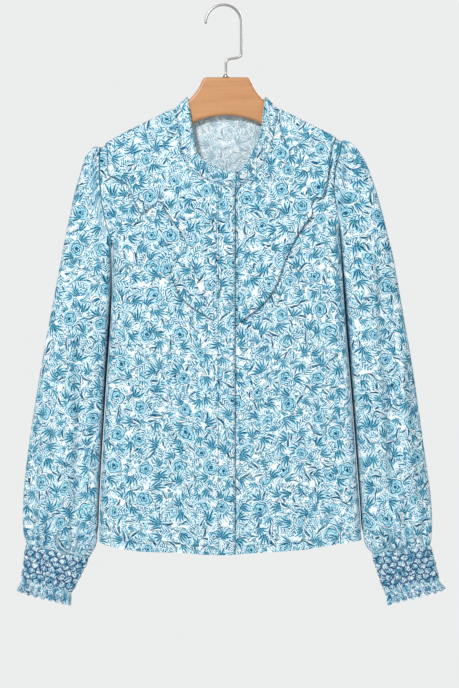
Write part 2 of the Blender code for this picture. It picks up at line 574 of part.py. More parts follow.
def armhole_ring(side):
    """The sleeve's first section, along the armhole seam in front and back again behind."""
    x, drop = armhole_points(side)
    ends = np.array([x[0], 0, -drop[0]]), np.array([x[-1], 0, -drop[-1]])
    tangent = np.stack([np.gradient(x), -np.gradient(drop)], axis=1)
    tangent /= np.linalg.norm(tangent, axis=1, keepdims=True)
    outward = np.stack([-side * tangent[:, 1], side * tangent[:, 0]], axis=1)
    halves = []
    for facing in (FRONT, BACK):
        points, normals = skin(x, drop, facing)
        points[:, 0] += outward[:, 0] * ARMHOLE_SEAM
        points[:, 2] += outward[:, 1] * ARMHOLE_SEAM
        points[[0, -1], 1] = 0
        halves.append((points, normals))
        normals[:, 0] *= 1 - 2 * step_up((ARMHOLE_STEPS - UNDERARM_START) / UNDERARM_SPAN)
    points, normals = (np.concatenate([front, back[-2:0:-1]]) for front, back in zip(*halves))
    return points, normals, ends


def sleeve(name, side):
    rows = SLEEVE[side]
    first, first_normals, (shoulder_end, underarm_end) = armhole_ring(side)
    sides = len(first)
    turns = 2 * math.pi * np.arange(sides) / sides
    bow = first - oval(shoulder_end, underarm_end, ARMHOLE_HALF, turns, SLEEVE_SQUARE)
    rings = [first]
    for outer_x, outer_drop, inner_drop, inner_x, half, keep in zip(*rows.values()):
        if inner_x == 0:
            inner_x = side_x(side, inner_drop) + side * SLEEVE_GAP
        ring = oval(np.array([outer_x, 0, -outer_drop]), np.array([inner_x, 0, -inner_drop]), half, turns,
                    SLEEVE_SQUARE)
        rings.append(ring + bow * keep)
    grid = np.array(rings)
    normals = grid_normals(grid, True)
    centre = grid.mean(axis=1, keepdims=True)
    normals *= np.sign(np.sum(normals * (grid - centre)))
    depth = np.abs(grid[..., 1]) / np.abs(grid[..., 1]).max(axis=1, keepdims=True)
    face = step_up((depth - FLAT_SLEEVE) / (1 - FLAT_SLEEVE))
    lift = folds(grid[..., 0], -grid[..., 2], SLEEVE_FOLDS[side]) * face
    cuff_drop = -grid[-1:, :, 2]
    near = step_up(1 - (cuff_drop + grid[..., 2]) / SLEEVE_GATHER_REACH)
    near[-1] = SLEEVE_GATHER_END
    lift += SLEEVE_GATHER_LIFT * near * np.cos(SLEEVE_GATHERS * turns)[None, :] * face
    lift[0] = 0
    outer = grid + normals * lift[..., None]
    normals = grid_normals(outer, True)
    normals *= np.sign(np.sum(normals * (grid - centre)))
    normals[0] = first_normals
    inner = outer - normals * WALL
    add_piece(name, *wall(outer, inner, wrap=True), CLOTH)


def cuff(name, side):
    """Smocked tube with raised bubbles outside, plain inside, running on into a waved frill."""
    rows = CUFF[side]
    ends = [(rows[end + "_x"][0], rows[end + "_drop"][0]) for end in ("outer", "inner")]
    turns = even_turns(math.dist(*ends) / 2, rows["half"][0], CUFF_SQUARE, CUFF_SIDES)
    smock_steps = 2 * SMOCK_ROWS
    frill_steps = np.arange(1, FRILL_STEPS + 1)
    levels = np.concatenate([np.arange(smock_steps + 1) / smock_steps, 1 + frill_steps / FRILL_STEPS])
    rings = []
    for level in levels:
        at = {column: np.interp(level, [0, 1, 2], values) for column, values in rows.items()}
        rings.append(oval(np.array([at["outer_x"], 0, -at["outer_drop"]]),
                          np.array([at["inner_x"], 0, -at["inner_drop"]]), at["half"], turns, CUFF_SQUARE))
    plain = np.array(rings)
    normals = grid_normals(plain, True)
    normals *= np.sign(np.sum(normals * (plain - plain.mean(axis=1, keepdims=True))))
    lift = np.zeros(plain.shape[:2])
    column = np.arange(CUFF_SIDES)
    for row in range(SMOCK_ROWS):
        lift[2 * row + 1] = SMOCK_LIFT * ((column + row) % 2)
    wave = FRILL_WAVE * np.cos(math.pi * column)
    frill = np.clip(levels - 1, 0, 1)[:, None] * wave[None, :]
    outer = plain + normals * (lift + frill)[..., None]
    inner = plain + normals * (frill - WALL)[..., None]
    inner_rows = np.concatenate([[0, SMOCK_ROWS, smock_steps], smock_steps + frill_steps])
    add_piece(name, *wall(outer, inner[inner_rows], wrap=True), CLOTH, smooth=False)


def hanger_outline():
    """Half of the board's outline, from the middle of its top round to the middle of its underside."""
    outline = list(zip(*HANGER_CROWN.values()))
    tip = HANGER_TIP_REACH - HANGER_TIP_RADIUS
    for reach in np.arange(HANGER_CROWN["reach"][-1] + HANGER_EDGE_STEP, tip, HANGER_EDGE_STEP):
        outline.append((reach, shoulder_drop(HANGER_X + reach) + HANGER_REST))
    tip_drop = shoulder_drop(HANGER_X + HANGER_TIP_REACH) + HANGER_REST + HANGER_TIP_RADIUS
    for turn in np.radians([60, 30, 0, -30, -60, -90]):
        outline.append((tip + HANGER_TIP_RADIUS * math.cos(turn),
                        tip_drop - HANGER_TIP_RADIUS * math.sin(turn)))
    rise = HANGER_ARCH_FOOT - HANGER_ARCH_TOP
    radius = (HANGER_ARCH_REACH**2 + rise**2) / (2 * rise)
    for reach in np.linspace(HANGER_ARCH_REACH, 0, HANGER_ARCH_STEPS):
        outline.append((reach, HANGER_ARCH_TOP + radius - math.sqrt(radius**2 - reach**2)))
    return outline


def hanger_board():
    half = hanger_outline()
    outline = [(HANGER_X + reach, -drop) for reach, drop in half]
    outline += [(HANGER_X - reach, -drop) for reach, drop in half[-2:0:-1]]
    count = len(outline)
    y = HANGER_THICKNESS / 2
    points = [(x, -y, z) for x, z in outline] + [(x, y, z) for x, z in outline]
    faces = [tuple(range(count)), tuple(range(2 * count - 1, count - 1, -1))]
    for i in range(count):
        j = (i + 1) % count
        faces.append((i, i + count, j + count, j))
    board = add_piece("hanger_board", points, faces, WOOD)
    rounding = board.modifiers.new("rounding", "BEVEL")
    rounding.width = HANGER_ROUNDING * MM
    rounding.segments = HANGER_ROUNDING_STEPS
    rounding.limit_method = "ANGLE"
    rounding.angle_limit = HANGER_CORNER


def hook_route():
    """Middle of the hook's wire: x, drop and radius, with the ferrule as its first wide stretch."""
    stem_x, foot = HOOK_STEM["x"][0], HANGER_CROWN["drop"][0] - SEAM
    route = [(stem_x, foot, FERRULE_RADIUS), (stem_x, foot - FERRULE_HEIGHT, FERRULE_RADIUS),
             (stem_x, foot - FERRULE_HEIGHT, HOOK_WIRE / 2)]
    route += [(x, drop, HOOK_WIRE / 2) for x, drop in zip(*HOOK_STEM.values())]
    x, drop = HOOK_CENTRE
    for turn in np.radians(np.arange(0, HOOK_BEND_END + HOOK_BEND_STEP, HOOK_BEND_STEP)):
        route.append((x + HOOK_RADIUS * math.cos(turn), drop - HOOK_RADIUS * math.sin(turn), HOOK_WIRE / 2))
    return np.array(route)


def hanger_hook():
    """Wire of round section along the route."""
    route = hook_route()
    ahead = np.gradient(route[:, :2], axis=0)
    ahead[:3] = (0, -1)
    ahead /= np.linalg.norm(ahead, axis=1, keepdims=True)
    points = []
    for (x, drop, radius), (dx, ddrop) in zip(route, ahead):
        for turn in 2 * math.pi * np.arange(HOOK_SIDES) / HOOK_SIDES:
            across = radius * math.cos(turn)
            points.append((x - ddrop * across, radius * math.sin(turn), -drop - dx * across))
    faces = grid_faces(0, len(route), HOOK_SIDES, True, False)
    faces += [tuple(range(HOOK_SIDES)), tuple(range(len(points) - HOOK_SIDES, len(points)))]
    add_piece("hanger_hook", points, faces, NICKEL)


def main():
    for old in list(bpy.data.objects):
        bpy.data.objects.remove(old, do_unlink=True)
    hanger_board()
    hanger_hook()
    front_piece("front_right", RIGHT, UPPER_EDGE_X)
    front_piece("front_left", LEFT, UNDER_EDGE_X)
    back_piece()
    placket()
    collar_button(*collar_stand())
    flounce("flounce_right", RIGHT)
    flounce("flounce_left", LEFT)
    for side, word in ((RIGHT, "right"), (LEFT, "left")):
        sleeve("sleeve_" + word, side)
        cuff("cuff_" + word, side)


main()
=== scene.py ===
"""A long-sleeved printed blouse hanging flat on a wooden hanger.

Sizes in the tables are millimetres. X runs towards the wearer's left, Y from front to back and Z up, and the
origin is the inside top of the hook. A "drop" is a distance below the origin.
"""
import math
from functools import partialmethod

import bpy
import numpy as np
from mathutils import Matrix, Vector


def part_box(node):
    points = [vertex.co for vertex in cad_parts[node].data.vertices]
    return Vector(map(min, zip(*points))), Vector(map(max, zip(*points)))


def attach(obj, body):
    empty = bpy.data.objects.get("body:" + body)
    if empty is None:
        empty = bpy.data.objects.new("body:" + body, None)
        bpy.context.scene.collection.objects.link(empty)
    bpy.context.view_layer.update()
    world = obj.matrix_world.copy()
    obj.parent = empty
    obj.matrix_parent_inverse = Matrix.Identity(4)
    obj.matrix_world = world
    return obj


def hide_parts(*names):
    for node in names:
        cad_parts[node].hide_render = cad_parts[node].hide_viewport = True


bl_info = {
    "name": "Blouse on a Hanger",
    "version": (1, 0, 0),
    "blender": (4, 5, 0),
    "location": "View3D > Sidebar > Blouse",
    "description": "Builds the cloth, cuffs, button and hanger of a printed blouse",
    "category": "Add Mesh",
}

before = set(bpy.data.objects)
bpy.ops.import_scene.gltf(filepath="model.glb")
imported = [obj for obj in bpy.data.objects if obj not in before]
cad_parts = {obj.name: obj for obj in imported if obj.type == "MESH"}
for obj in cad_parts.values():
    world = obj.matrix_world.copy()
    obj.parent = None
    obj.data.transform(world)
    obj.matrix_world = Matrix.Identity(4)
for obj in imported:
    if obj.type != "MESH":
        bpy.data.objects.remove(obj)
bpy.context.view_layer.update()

MM = 0.001
RIGHT, LEFT = -1, 1                     # the wearer's sides, which are also the signs of X
FRONT, BACK = -1, 1                     # the signs of Y
SIDE_NAMES = {RIGHT: "right", LEFT: "left"}

# Space left between pieces that are sewn together.
SEAM, NECK_SEAM, ARMHOLE_SEAM = 0.3, 0.6, 0.7

# The hanger's middle, and the body on it: how far below the shoulder line and in from a side its cloth has
# turned flat, how fast it runs outwards above the underarm, after what share of the fall its columns hang
# evenly, and how the armhole's moves fade towards the neck.
HANGER_X = 3.6
TOP_ROUND, SIDE_ROUND = 7.0, 15.0
OUTRUN, SETTLED_FALL, TOP_SPREAD = 0.9, 0.4, 3

# The closing: its upper and under edge, how far the under front and the under end of the stand lie behind,
# where they begin to sink and have sunk, and the placket's edges and how far below the neck seam it starts.
UPPER_EDGE_X, UNDER_EDGE_X = 16.7, -6.0
LAP, BAND_LAP = 1.9, 3.0
LAP_START_X, LAP_FULL_X = 42.0, 24.5
PLACKET_LEFT_X, PLACKET_RIGHT_X, PLACKET_TOP = 15.0, -9.7, 1.2

# Behind the gap beside the body each sleeve leans over the body's turned side: how much further than the
# gap is wide, where in its depth and over what share of it, down to which drop, and over what drop it fades.
LEAN, LEAN_PLACE, LEAN_WIDTH = 2.6, 0.62, 0.24
LEAN_END, LEAN_FADE = 752.0, 30.0
# The lean's front is painted dark, as shade in the gap beside the body.
TUCK_DARK, TUCK_SHARP = 2.5, 12.0       # how soon the lean is dark, and how sharply that ends behind it

# Where on the printed cloth each piece is cut.
CUT_FROM = {"front_right": (0, 0), "front_left": (170, 390), "back": (900, 130), "placket": (310, 77),
            "collar_stand": (57, 411), "flounce_right": (1700, -60), "flounce_left": (1700, 60),
            "sleeve_right": (0, -700), "sleeve_left": (0, 700), "cuff_right": (2300, -90),
            "cuff_left": (2300, 90)}


def table(columns, *rows):
    """Return a short table as one array for each named column."""
    return dict(zip(columns.split(), np.array(rows, dtype=float).T))


# Gap between the hanging sleeve and the side of the body.
SLEEVE_GAP = table("drop gap", (320, 0.8), (360, 1.6), (430, 3.8), (640, 3.8), (790, 2.6))

# Half of the depth from front to back.
DEPTH = table("drop half",
              (100, 8.5), (160, 9), (200, 11), (250, 15), (320, 18), (450, 20), (620, 22),
              (800, 23))

# The shoulder line, at a reach either way from the hanger's middle.
SHOULDER = table("reach drop",
                 (0, 106), (40, 128), (76, 149.5), (95, 159.5), (125, 174.5), (155, 189.5), (182, 206))

# Side seams, from the underarms to the hem.
SIDES = table("drop right left",
              (322, -161, 167.5), (370, -161.8, 170.5), (426, -162.6, 174.2), (484, -166, 178.2),
              (542, -169.7, 182.6), (600, -173.1, 187.1), (658, -176.5, 191.4), (716, -179.6, 195.8),
              (778, -181.5, 199.8))

HEM = table("x drop",
            (-181.5, 776), (-156, 783), (-121, 788.5), (-70, 790.5), (0, 794), (52, 790.5),
            (87, 788.5), (122, 785.5), (157, 779.5), (199.8, 773))

# Armhole seams, from the shoulder point to the underarm.
ARMHOLE = {
    RIGHT: table("x drop", (-178.4, 205), (-178.8, 235), (-178, 262), (-175, 290),
                 (-169.5, 315), (-164, 335), (-161.3, 347)),
    LEFT: table("x drop", (169.7, 195.8), (166.5, 214), (161.5, 230), (158.5, 250), (158.8, 272),
                (162.4, 296), (165.4, 311), (167.5, 324)),
}

# Neck seam, and the stand's top edge above it, from the shoulder to the closing edge.
NECK = {
    RIGHT: table("seam_x seam_drop top_x top_y top_drop",
                 (-72.5, 149.5, -53.5, 0, 131.5), (-71.6, 151.3, -53.2, -4.5, 132.8),
                 (-69.5, 155, -52.3, -9, 136.5),
                 (-66.5, 173, -48.6, -13, 158), (-62.5, 200, -45.2, -17.5, 186),
                 (-55.5, 226, -40, -20.5, 212), (-40, 245, -27.5, -22.5, 227),
                 (-14, 257, -8.7, -23.5, 235.3), (16.7, 263.5, 16.7, -23.5, 241.5)),
    LEFT: table("seam_x seam_drop top_x top_y top_drop",
                (79.8, 149.5, 60.3, 0, 131), (78.9, 151.3, 60.1, -4.5, 132.6),
                (76.8, 155, 59.5, -9, 136.5),
                (74.5, 171, 56.6, -14, 158), (72, 191, 53.8, -17, 180),
                (65.5, 211, 47.5, -19.5, 199), (50, 240.5, 34.8, -22, 224.5),
                (24, 262.5, 19.5, -23.5, 241.5), (-3, 260.5, -3, -23, 239)),
}
BACK_NECK = table("seam_x seam_drop top_x top_y top_drop",
                  (-71.6, 151.3, -53, 4.8, 132.3), (-69.5, 154.5, -51.5, 8.5, 134),
                  (-56, 157, -42, 11, 135), (-28, 157, -22, 12, 134.5),
                  (3.6, 157, 3.6, 12.5, 134),
                  (35, 157, 29, 12, 134.5), (63, 157, 49, 11, 135),
                  (76.8, 154.5, 58.7, 8.5, 134), (78.9, 151.3, 60, 4.8, 131.9))

# Sleeve sections: outer end of each on the outline, and how far down its inner end lies. The last two, below
# the hem, also state the inner x. "half" is half of the depth, and "keep" is how much of the armhole's shape
# the section still has.
SLEEVE = {
    RIGHT: table("outer_x outer_drop inner_drop inner_x half keep",
                 (-188.5, 206.5, 354, 0, 17, .86), (-200, 219, 363, 0, 17.2, .68),
                 (-206.6, 238, 377, 0, 17.4, .50), (-216, 270, 397, 0, 17.5, .32),
                 (-224.8, 310.3, 426, 0, 17.6, .16), (-234.9, 361, 458, 0, 17.7, .06),
                 (-244.3, 411.8, 496, 0, 17.8, 0), (-254.5, 464, 538, 0, 18, 0),
                 (-263.9, 516.2, 579, 0, 18, 0), (-272.6, 568.4, 619, 0, 18.5, 0),
                 (-280.6, 620.6, 661, 0, 19, 0), (-286.4, 665.6, 696, 0, 19.5, 0),
                 (-290.4, 704.7, 728, 0, 20, 0), (-291.5, 736.6, 754, 0, 19.5, 0),
                 (-291, 759.8, 777, 0, 18, 0), (-287.8, 774.3, 792, -190.7, 15, 0),
                 (-285.9, 779.6, 800.6, -196.3, 12, 0)),
    LEFT: table("outer_x outer_drop inner_drop inner_x half keep",
                (179, 197, 332, 0, 17, .80), (191.4, 206, 342, 0, 17.2, .62),
                (203.7, 223.3, 355, 0, 17.4, .44), (214.6, 249.4, 375, 0, 17.5, .28),
                (224.8, 281.3, 402, 0, 17.6, .16), (234.2, 319, 431, 0, 17.7, .06),
                (245.1, 362.5, 467, 0, 17.8, 0), (253.8, 411.8, 505, 0, 18, 0),
                (262.5, 461.1, 542, 0, 18, 0), (271.2, 510.4, 583, 0, 18.5, 0),
                (279.1, 562.6, 621, 0, 19, 0), (286.4, 614.8, 661, 0, 19.5, 0),
                (292.9, 661.2, 696, 0, 20, 0), (298.7, 701.8, 728, 0, 19.5, 0),
                (301.6, 740, 756, 0, 18.5, 0), (301, 768.5, 780, 204.5, 15.5, 0),
                (298.7, 781, 793, 214.6, 12, 0)),
}
SLEEVE_SQUARE = 0.72                    # below 1 a section is squarer than an oval, with flatter faces
ARMHOLE_HALF = 17.0                     # half of the depth at the armhole
UNDERARM_START, UNDERARM_SPAN = 0.5, 0.35       # shares of the armhole where the edge turns under the arm
SLEEVE_RIPPLE, RIPPLE_SHIFT = 1.3, 9.0  # height and place of a sleeve's ripples against the body's

# Gathers above a cuff: soft pleats all round and how far up they run, sharp uneven gathers on them, the share
# of both that is left at the cuff's seam, and over what drop they sink to it.
SLEEVE_GATHERS, SLEEVE_GATHER_LIFT, SLEEVE_GATHER_REACH = 7, 2.64, 95.0
FINE_GATHERS, FINE_GATHER_LIFT, FINE_GATHER_POWER, FINE_GATHER_MEAN = 11, 6.0, 0.7, 0.7
SLEEVE_GATHER_END, SLEEVE_GATHER_SINK = 0.35, 6.0

# Gathers of a sleeve's head: their number, height and reach, the share of the armhole that has them, how
# sharply that share ends, and how far from the seam they have risen.
HEAD_GATHERS, HEAD_GATHER_LIFT, HEAD_GATHER_REACH = 17, 1.8, 38.0
HEAD_GATHER_SHARE, HEAD_GATHER_EDGE, HEAD_GATHER_START = 0.55, 3.0, 2.0

# Cuffs: the ends of three sections, at the smocking's top, at its foot and at the frill's edge.
CUFF = {
    RIGHT: table("outer_x outer_drop inner_x inner_drop half",
                 (-286, 780, -196.5, 801, 12), (-293.3, 833, -221.5, 851, 11),
                 (-299.5, 847.5, -222.5, 868, 13.5)),
    LEFT: table("outer_x outer_drop inner_x inner_drop half",
                (298.8, 781.4, 214.7, 793.4, 12), (311.5, 832.5, 233, 849.5, 11),
                (318.5, 846, 240.5, 866, 13.5)),
}
CUFF_SIDES = 32                         # columns round a cuff, evenly apart, two for each bubble
CUFF_SQUARE = 0.8
SMOCK_ROWS, SMOCK_LIFT = 7, 2.0
SMOCK_TOP_FADE, SMOCK_FOOT_FADE = 2.0, 1.6      # how fast bubbles rise in from the two ends, for each row

# Bubbles: how unevenly they stand, how flat they are drawn, how far in from their margin they rise, by which
# power, and how far in the groove's dark thread and painted shade show.
BUBBLE_SHIFT, BUBBLE_SQUAT = 0.55, 1.65
BUBBLE_ROUND, BUBBLE_POWER, GROOVE_REACH = 6.0, 0.55, 4.4
CHANCE_WAVES, CHANCE_SPREAD, SECOND_CHANCE = (12.9898, 78.233, 3.1), 43758.5453, 7.13

# The frill: its main wave, a smaller and quicker one, how far its edge hangs unevenly, and how dark the
# painted shade in its hollows is.
FRILL_WAVE, FRILL_CRIMP, FRILL_HANG, FRILL_SHADE = 2.6, 0.7, 1.6, 0.70
CUFF_WALL = 1.4                         # thickness of the cuff, against one layer of cloth
CUFF_FULL_WIDTH, CUFF_FULL_DEPTH = 1.5, 1.2     # how much more print the smocking draws in, across and down

# Flounces, a row for each section across them: its end at the neck or the closing, its end at the free
# edge, and how far that edge lifts off the chest.
FLOUNCE = {
    RIGHT: table("inner_x inner_drop edge_x edge_drop lift",
                 (-74.4, 150.6, -170, 200.9, 0.3), (-74, 152, -170, 202.6, 0.6),
                 (-72.6, 155.4, -169.6, 206.5, 1.2), (-70.6, 161, -169, 214, 3),
                 (-69.3, 170, -168, 230, 5), (-68, 180, -167, 246, 4),
                 (-66.5, 191, -156, 251.5, 1.5), (-64.8, 202, -142, 259, 3),
                 (-62.2, 213, -133, 276, 8), (-58.8, 222.5, -121, 301, 9),
                 (-54, 232, -104, 292, 4), (-46.5, 241, -94, 285, 0.8),
                 (-36, 249, -84, 299, 4), (-17, 258.6, -66, 325, 8),
                 (-10.8, 276, -55, 345, 4), (-10.8, 302, -57, 357, 1),
                 (-10.8, 330, -76, 383, 6), (-10.8, 360, -73, 402, 7),
                 (-10.8, 392, -58, 428, 5), (-10.8, 425, -34, 446, 3),
                 (-10.8, 452, -15, 457, 1)),
    LEFT: table("inner_x inner_drop edge_x edge_drop lift",
                (81.7, 150.6, 161, 192.9, 0.3), (81.2, 152, 160.5, 194.6, 0.6),
                (79.8, 155.4, 159, 199, 1.2), (78, 161, 156, 208, 3),
                (76.8, 170, 153.5, 222, 5), (75.6, 180, 152, 238, 6),
                (74.2, 190, 149.4, 255, 7), (71.8, 201, 143, 277, 8),
                (68.6, 210, 133, 281, 3), (64.3, 218.5, 127, 290, 1.5),
                (59.5, 228, 127.5, 303, 5), (54.5, 236.5, 121, 313, 7),
                (48.5, 244.5, 110, 328, 6), (41.5, 251.5, 98.6, 348, 4),
                (32.5, 259.5, 88.5, 371, 3), (21.5, 269, 84, 383, 4.5),
                (20.5, 292, 79.8, 397, 4), (20.5, 325, 72.5, 412, 5),
                (20.5, 360, 62.4, 426, 5), (20.5, 395, 48.6, 441, 4),
                (20.5, 430, 36.3, 449, 3), (20.5, 455, 24.5, 459, 1.5)),
}

# Flounces: how the lift grows outwards, the share of the table's lift that is built, which keeps the edges'
# shadows narrow, the least lift of an edge, and room where the cloth turns over the shoulder. Their columns
# lie closer towards the edge by a power, and their cut is turned on the cloth.
FLOUNCE_CURL, FLOUNCE_HUG, FLOUNCE_LEAST, TURN_CLEARANCE = 1.6, 0.5, 0.2, 1.1
FLOUNCE_DENSE, FLOUNCE_TURN = 1.3, math.radians(50)

# Soft folds of the body and sleeves: a line from one point to another, half width and height.
FOLD_COLUMNS = "x0 drop0 x1 drop1 width lift"
FOLD_START, FOLD_END = 0.25, 0.2        # shares of its length over which a fold rises, and fades past its end
FLAT_BODY, FLAT_SLEEVE = 0.6, 0.45      # share of the full depth at which the cloth is flat enough to fold
FOLDS = {
    FRONT: table(FOLD_COLUMNS,
                 (-160, 258, -158, 345, 5, -4.2), (-120, 480, -140, 790, 26, 2.2),
                 (-66, 420, -72, 790, 22, -1.8), (62, 470, 70, 790, 24, 2), (130, 430, 150, 790, 26, -1.8),
                 (100, 400, 120, 640, 20, 1.6)),
    BACK: table(FOLD_COLUMNS,
                (-110, 330, -130, 790, 30, 2.4), (-30, 240, -40, 790, 30, -2.2), (50, 260, 60, 790, 28, 2.2),
                (125, 330, 145, 790, 28, -2)),
}
SLEEVE_FOLDS = {
    RIGHT: table(FOLD_COLUMNS,
                 (-190, 222, -190, 262, 6, -3), (-220, 450, -222, 645, 8, 8),
                 (-222, 645, -230, 775, 8, 7.5), (-250, 540, -262, 740, 9, 7),
                 (-206, 560, -208, 720, 7, -4)),
    LEFT: table(FOLD_COLUMNS,
                (183, 214, 176, 262, 6, -3), (212, 350, 219, 480, 7, 8), (219, 480, 231, 680, 8, 7.5),
                (246, 690, 256, 775, 8, 7.5), (252, 480, 268, 690, 10, 7), (236, 500, 246, 700, 7, -4)),
}

# Middle of the hook's wire, from the ferrule up to the bend, which is part of a circle, and the ferrule.
HOOK_STEM = table("x drop",
                  (2.9, 92.0), (2.9, 85.0), (3.3, 80.3), (6.0, 77.6), (12.0, 76.3), (19.0, 75.1),
                  (23.3, 73.2), (24.8, 69.5), (25.0, 62.0), (25.0, 42.0))
HOOK_CENTRE, HOOK_RADIUS = (-0.7, 24.0), 25.7
FERRULE = table("radius height", (4.5, 0), (4.5, 1.6), (4.2, 2.4), (3.4, 3.0), (2.4, 3.3), (1.9, 4.4))
FERRULE_WIRE = 5.5                      # height above the board where the bare wire begins
HANGER_CROWN_DROP = 103.7               # top of the board, under the ferrule

# The stand's button: its facing and half of its thickness, its rim from the back to the well, the flat well,
# four holes and two bars of thread.
BUTTON_FACING, BUTTON_SINK = (-0.30, -1.0, 0.55), 1.1
BUTTON_RIM = table("radius height",
                   (0.3, 0), (4.9, 0), (5.55, 0.35), (5.75, 0.9), (5.7, 1.45), (5.35, 2.0), (4.9, 2.2),
                   (4.4, 2.12), (4.0, 1.8), (3.7, 1.65))
WELL_RADIUS, WELL_MIDDLE, WELL_HEIGHT = 3.5, 0.1, 1.62
HOLE_PLACE, HOLE_RADIUS, HOLE_DEPTH = 1.15, 0.6, 0.9
THREAD_RADIUS, THREAD_FOOT, THREAD_BOW = 0.36, 0.1, 0.75

BAND_WALL = 1.5                         # the stand is two layers and what is between them
STAND_MIDDLE = (HANGER_X, 0, -190.0)    # a place inside the stand

# How fine the grids are: rows and columns of pieces, or of each row or section of their tables.
ARMHOLE_STEPS = np.array([0, 0.01, 0.035, 0.08, 0.16, 0.27, 0.40, 0.54, 0.68, 0.81, 0.91, 0.97, 1])
ARMHOLE_ROWS, SIDE_ROWS = 61, 84        # rows of a body piece beside its armhole, and below it
NECK_COLUMNS, SHOULDER_COLUMNS, TURN_COLUMNS, BACK_NECK_COLUMNS = 26, 40, 12, 48
PLACKET_ROWS, PLACKET_COLUMNS = 220, 9
STAND_ROWS, STAND_COLUMNS, STAND_STEP = 9, 60, 0.25     # columns nearer than the step are left out
FLOUNCE_ROWS, FLOUNCE_COLUMNS = 12, 34  # rows for each section of the table, and columns across
SLEEVE_RINGS, SLEEVE_COLUMNS = 7, 121   # rings for each section of the table, and columns on each face
CUFF_COLUMNS, CUFF_STEPS = 8, 7         # columns and levels for each half bubble
FRILL_RINGS = 14
HOOK_STEM_STEPS, HOOK_BEND_STEPS, WIRE_SIDES = 70, 60, 24
BUTTON_SIDES, WELL_STEPS, THREAD_STEPS, THREAD_SIDES = 64, 24, 12, 8

# Soft, uneven ripples of hanging cloth: waves of these lengths across and down, their heights and bends. The
# waves that bend them are longer, down and across.
RIPPLES = table("across down height bend",
                (61, 173, 0.50, 1.3), (37, 119, 0.32, 2.1), (23, 67, 0.20, 1.7), (17, 41, 0.10, 2.6))
LONGER_DOWN, LONGER_ACROSS = 1.7, 2.3

# The hem's stitches lie this far above its edge, those of bands this far inside theirs, and the rolled edge's
# line of stitches and painted shade this far inside it. The drawn width of a stitched line, and of the dark
# line of painted shade along a turned edge, a closing edge or a sleeve's seams, is told against a seam's.
HEM_STITCH, BAND_STITCH, ROLLED_STITCH_AND_SHADE = 12.0, 1.6, 0.3
STITCH_FINE, EDGE_BROAD = 0.6, 2.4
STITCH_PITCH, STITCH_LENGTH = 3.0, 2.1
COLUMN_RUN = 5.0                        # what each column of a sleeve counts for along its seams
NO_SEAM = 1000.0                        # so far from any seam that none is drawn

# The stage, in metres: the floor, where the camera looks in x and z, what it sees, and its sensor in mm.
FLOOR_DROP, FLOOR_SIDES = 1.26, 96
FLOOR = table("radius height",
              (0.2, 0), (0.6, 0), (1.0, 0), (1.3, 0), (1.45, 0), (1.49, -0.004), (1.5, -0.012), (1.5, -0.03),
              (1.45, -0.035), (0.2, -0.035))
PICTURE_MIDDLE, PICTURE_HEIGHT = (0.0080, -0.4901), 0.9976
SENSOR = 36.0


# ---- settings that a user would change ----

def colour_setting(name, description, *value):
    """A colour, with its three shares of light as its default."""
    return bpy.props.FloatVectorProperty(name=name, description=description, subtype="COLOR", size=3, min=0,
                                         max=1, default=value)


def number_setting(name, description, value, least, most, **kind):
    """A number with its default and limits, and its unit or subtype."""
    return bpy.props.FloatProperty(name=name, description=description, default=value, min=least, max=most,
                                   **kind)


class PrintSettings(bpy.types.PropertyGroup):
    """Scale and colours of the flower print."""
    scale: number_setting("Scale", "Size of leaves and small flowers, against full size", 0.82, 0.3, 3,
                          subtype="FACTOR")
    rose_size: number_setting("Rose size", "Reach of the largest flower", 0.0125, 0.004, 0.04, unit="LENGTH",
                              precision=4)
    rose_pitch: number_setting("Rose spacing", "Distance between the largest flowers", 0.048, 0.02, 0.2,
                               unit="LENGTH", precision=3)
    ground: colour_setting("Ground", "Unprinted cloth", 0.93, 0.985, 1.0)
    wash: colour_setting("Wash", "Lightest ink", 0.47, 0.80, 0.905)
    middle: colour_setting("Middle", "Middle ink", 0.135, 0.52, 0.70)
    deep: colour_setting("Deep", "Deep ink", 0.010, 0.180, 0.325)
    # The darkest ink also colours the painted shade along seams and edges and in the sleeves' tucks.
    dark: colour_setting("Dark", "Ink of the outlines", 0.001, 0.046, 0.112)


class ClothSettings(bpy.types.PropertyGroup):
    """Cloth, its threads and its button."""
    thickness: number_setting("Cloth", "Thickness of one layer", 0.0008, 0.0003, 0.0012, unit="LENGTH",
                              precision=4)
    ripple: number_setting("Ripple", "Height of the soft ripples, against usual", 1.0, 0, 2, subtype="FACTOR")
    roughness: number_setting("Roughness", "Roughness of the cloth", 0.78, 0, 1, subtype="FACTOR")
    # The smocking thread's colour is also the colour of the painted shade in the cuffs' grooves, pleats and
    # frill.
    smock_thread_and_shade: colour_setting("Smocking thread", "Thread of the cuffs", 0.017, 0.072, 0.215)
    thread: colour_setting("Thread", "Thread of the button", 0.42, 0.62, 0.72)
    pearl: colour_setting("Button", "Colour of the button", 0.80, 0.85, 0.86)


class HangerSettings(bpy.types.PropertyGroup):
    """Wood and metal of the hanger."""
    wood: colour_setting("Wood", "Light bands of the wood", 0.635, 0.308, 0.126)
    grain: colour_setting("Grain", "Dark bands of the wood", 0.50, 0.20, 0.065)
    metal: colour_setting("Metal", "Metal of the hook", 0.50, 0.475, 0.44)
    wire: number_setting("Wire", "Thickness of the hook's wire", 0.0035, 0.002, 0.0045, unit="LENGTH",
                         precision=4)


class StageSettings(bpy.types.PropertyGroup):
    """Backdrop, light and camera."""
    backdrop: colour_setting("Backdrop", "Plain pale surroundings", 0.838, 0.847, 0.847)
    room: number_setting("Room light", "Soft light from all round, against the backdrop", 0.46, 0, 2,
                         subtype="FACTOR")
    key: number_setting("Key light", "Power of the window-like light at the left", 70, 0, 1000, unit="POWER")
    fill: number_setting("Fill light", "Power of the light at the right", 8, 0, 1000, unit="POWER")
    back: number_setting("Back light", "Power of the light behind the blouse", 60, 0, 1000, unit="POWER")
    distance: number_setting("Camera distance", "From the camera to the hanger", 3.01, 1, 10, unit="LENGTH")


# ---- curves and surfaces ----

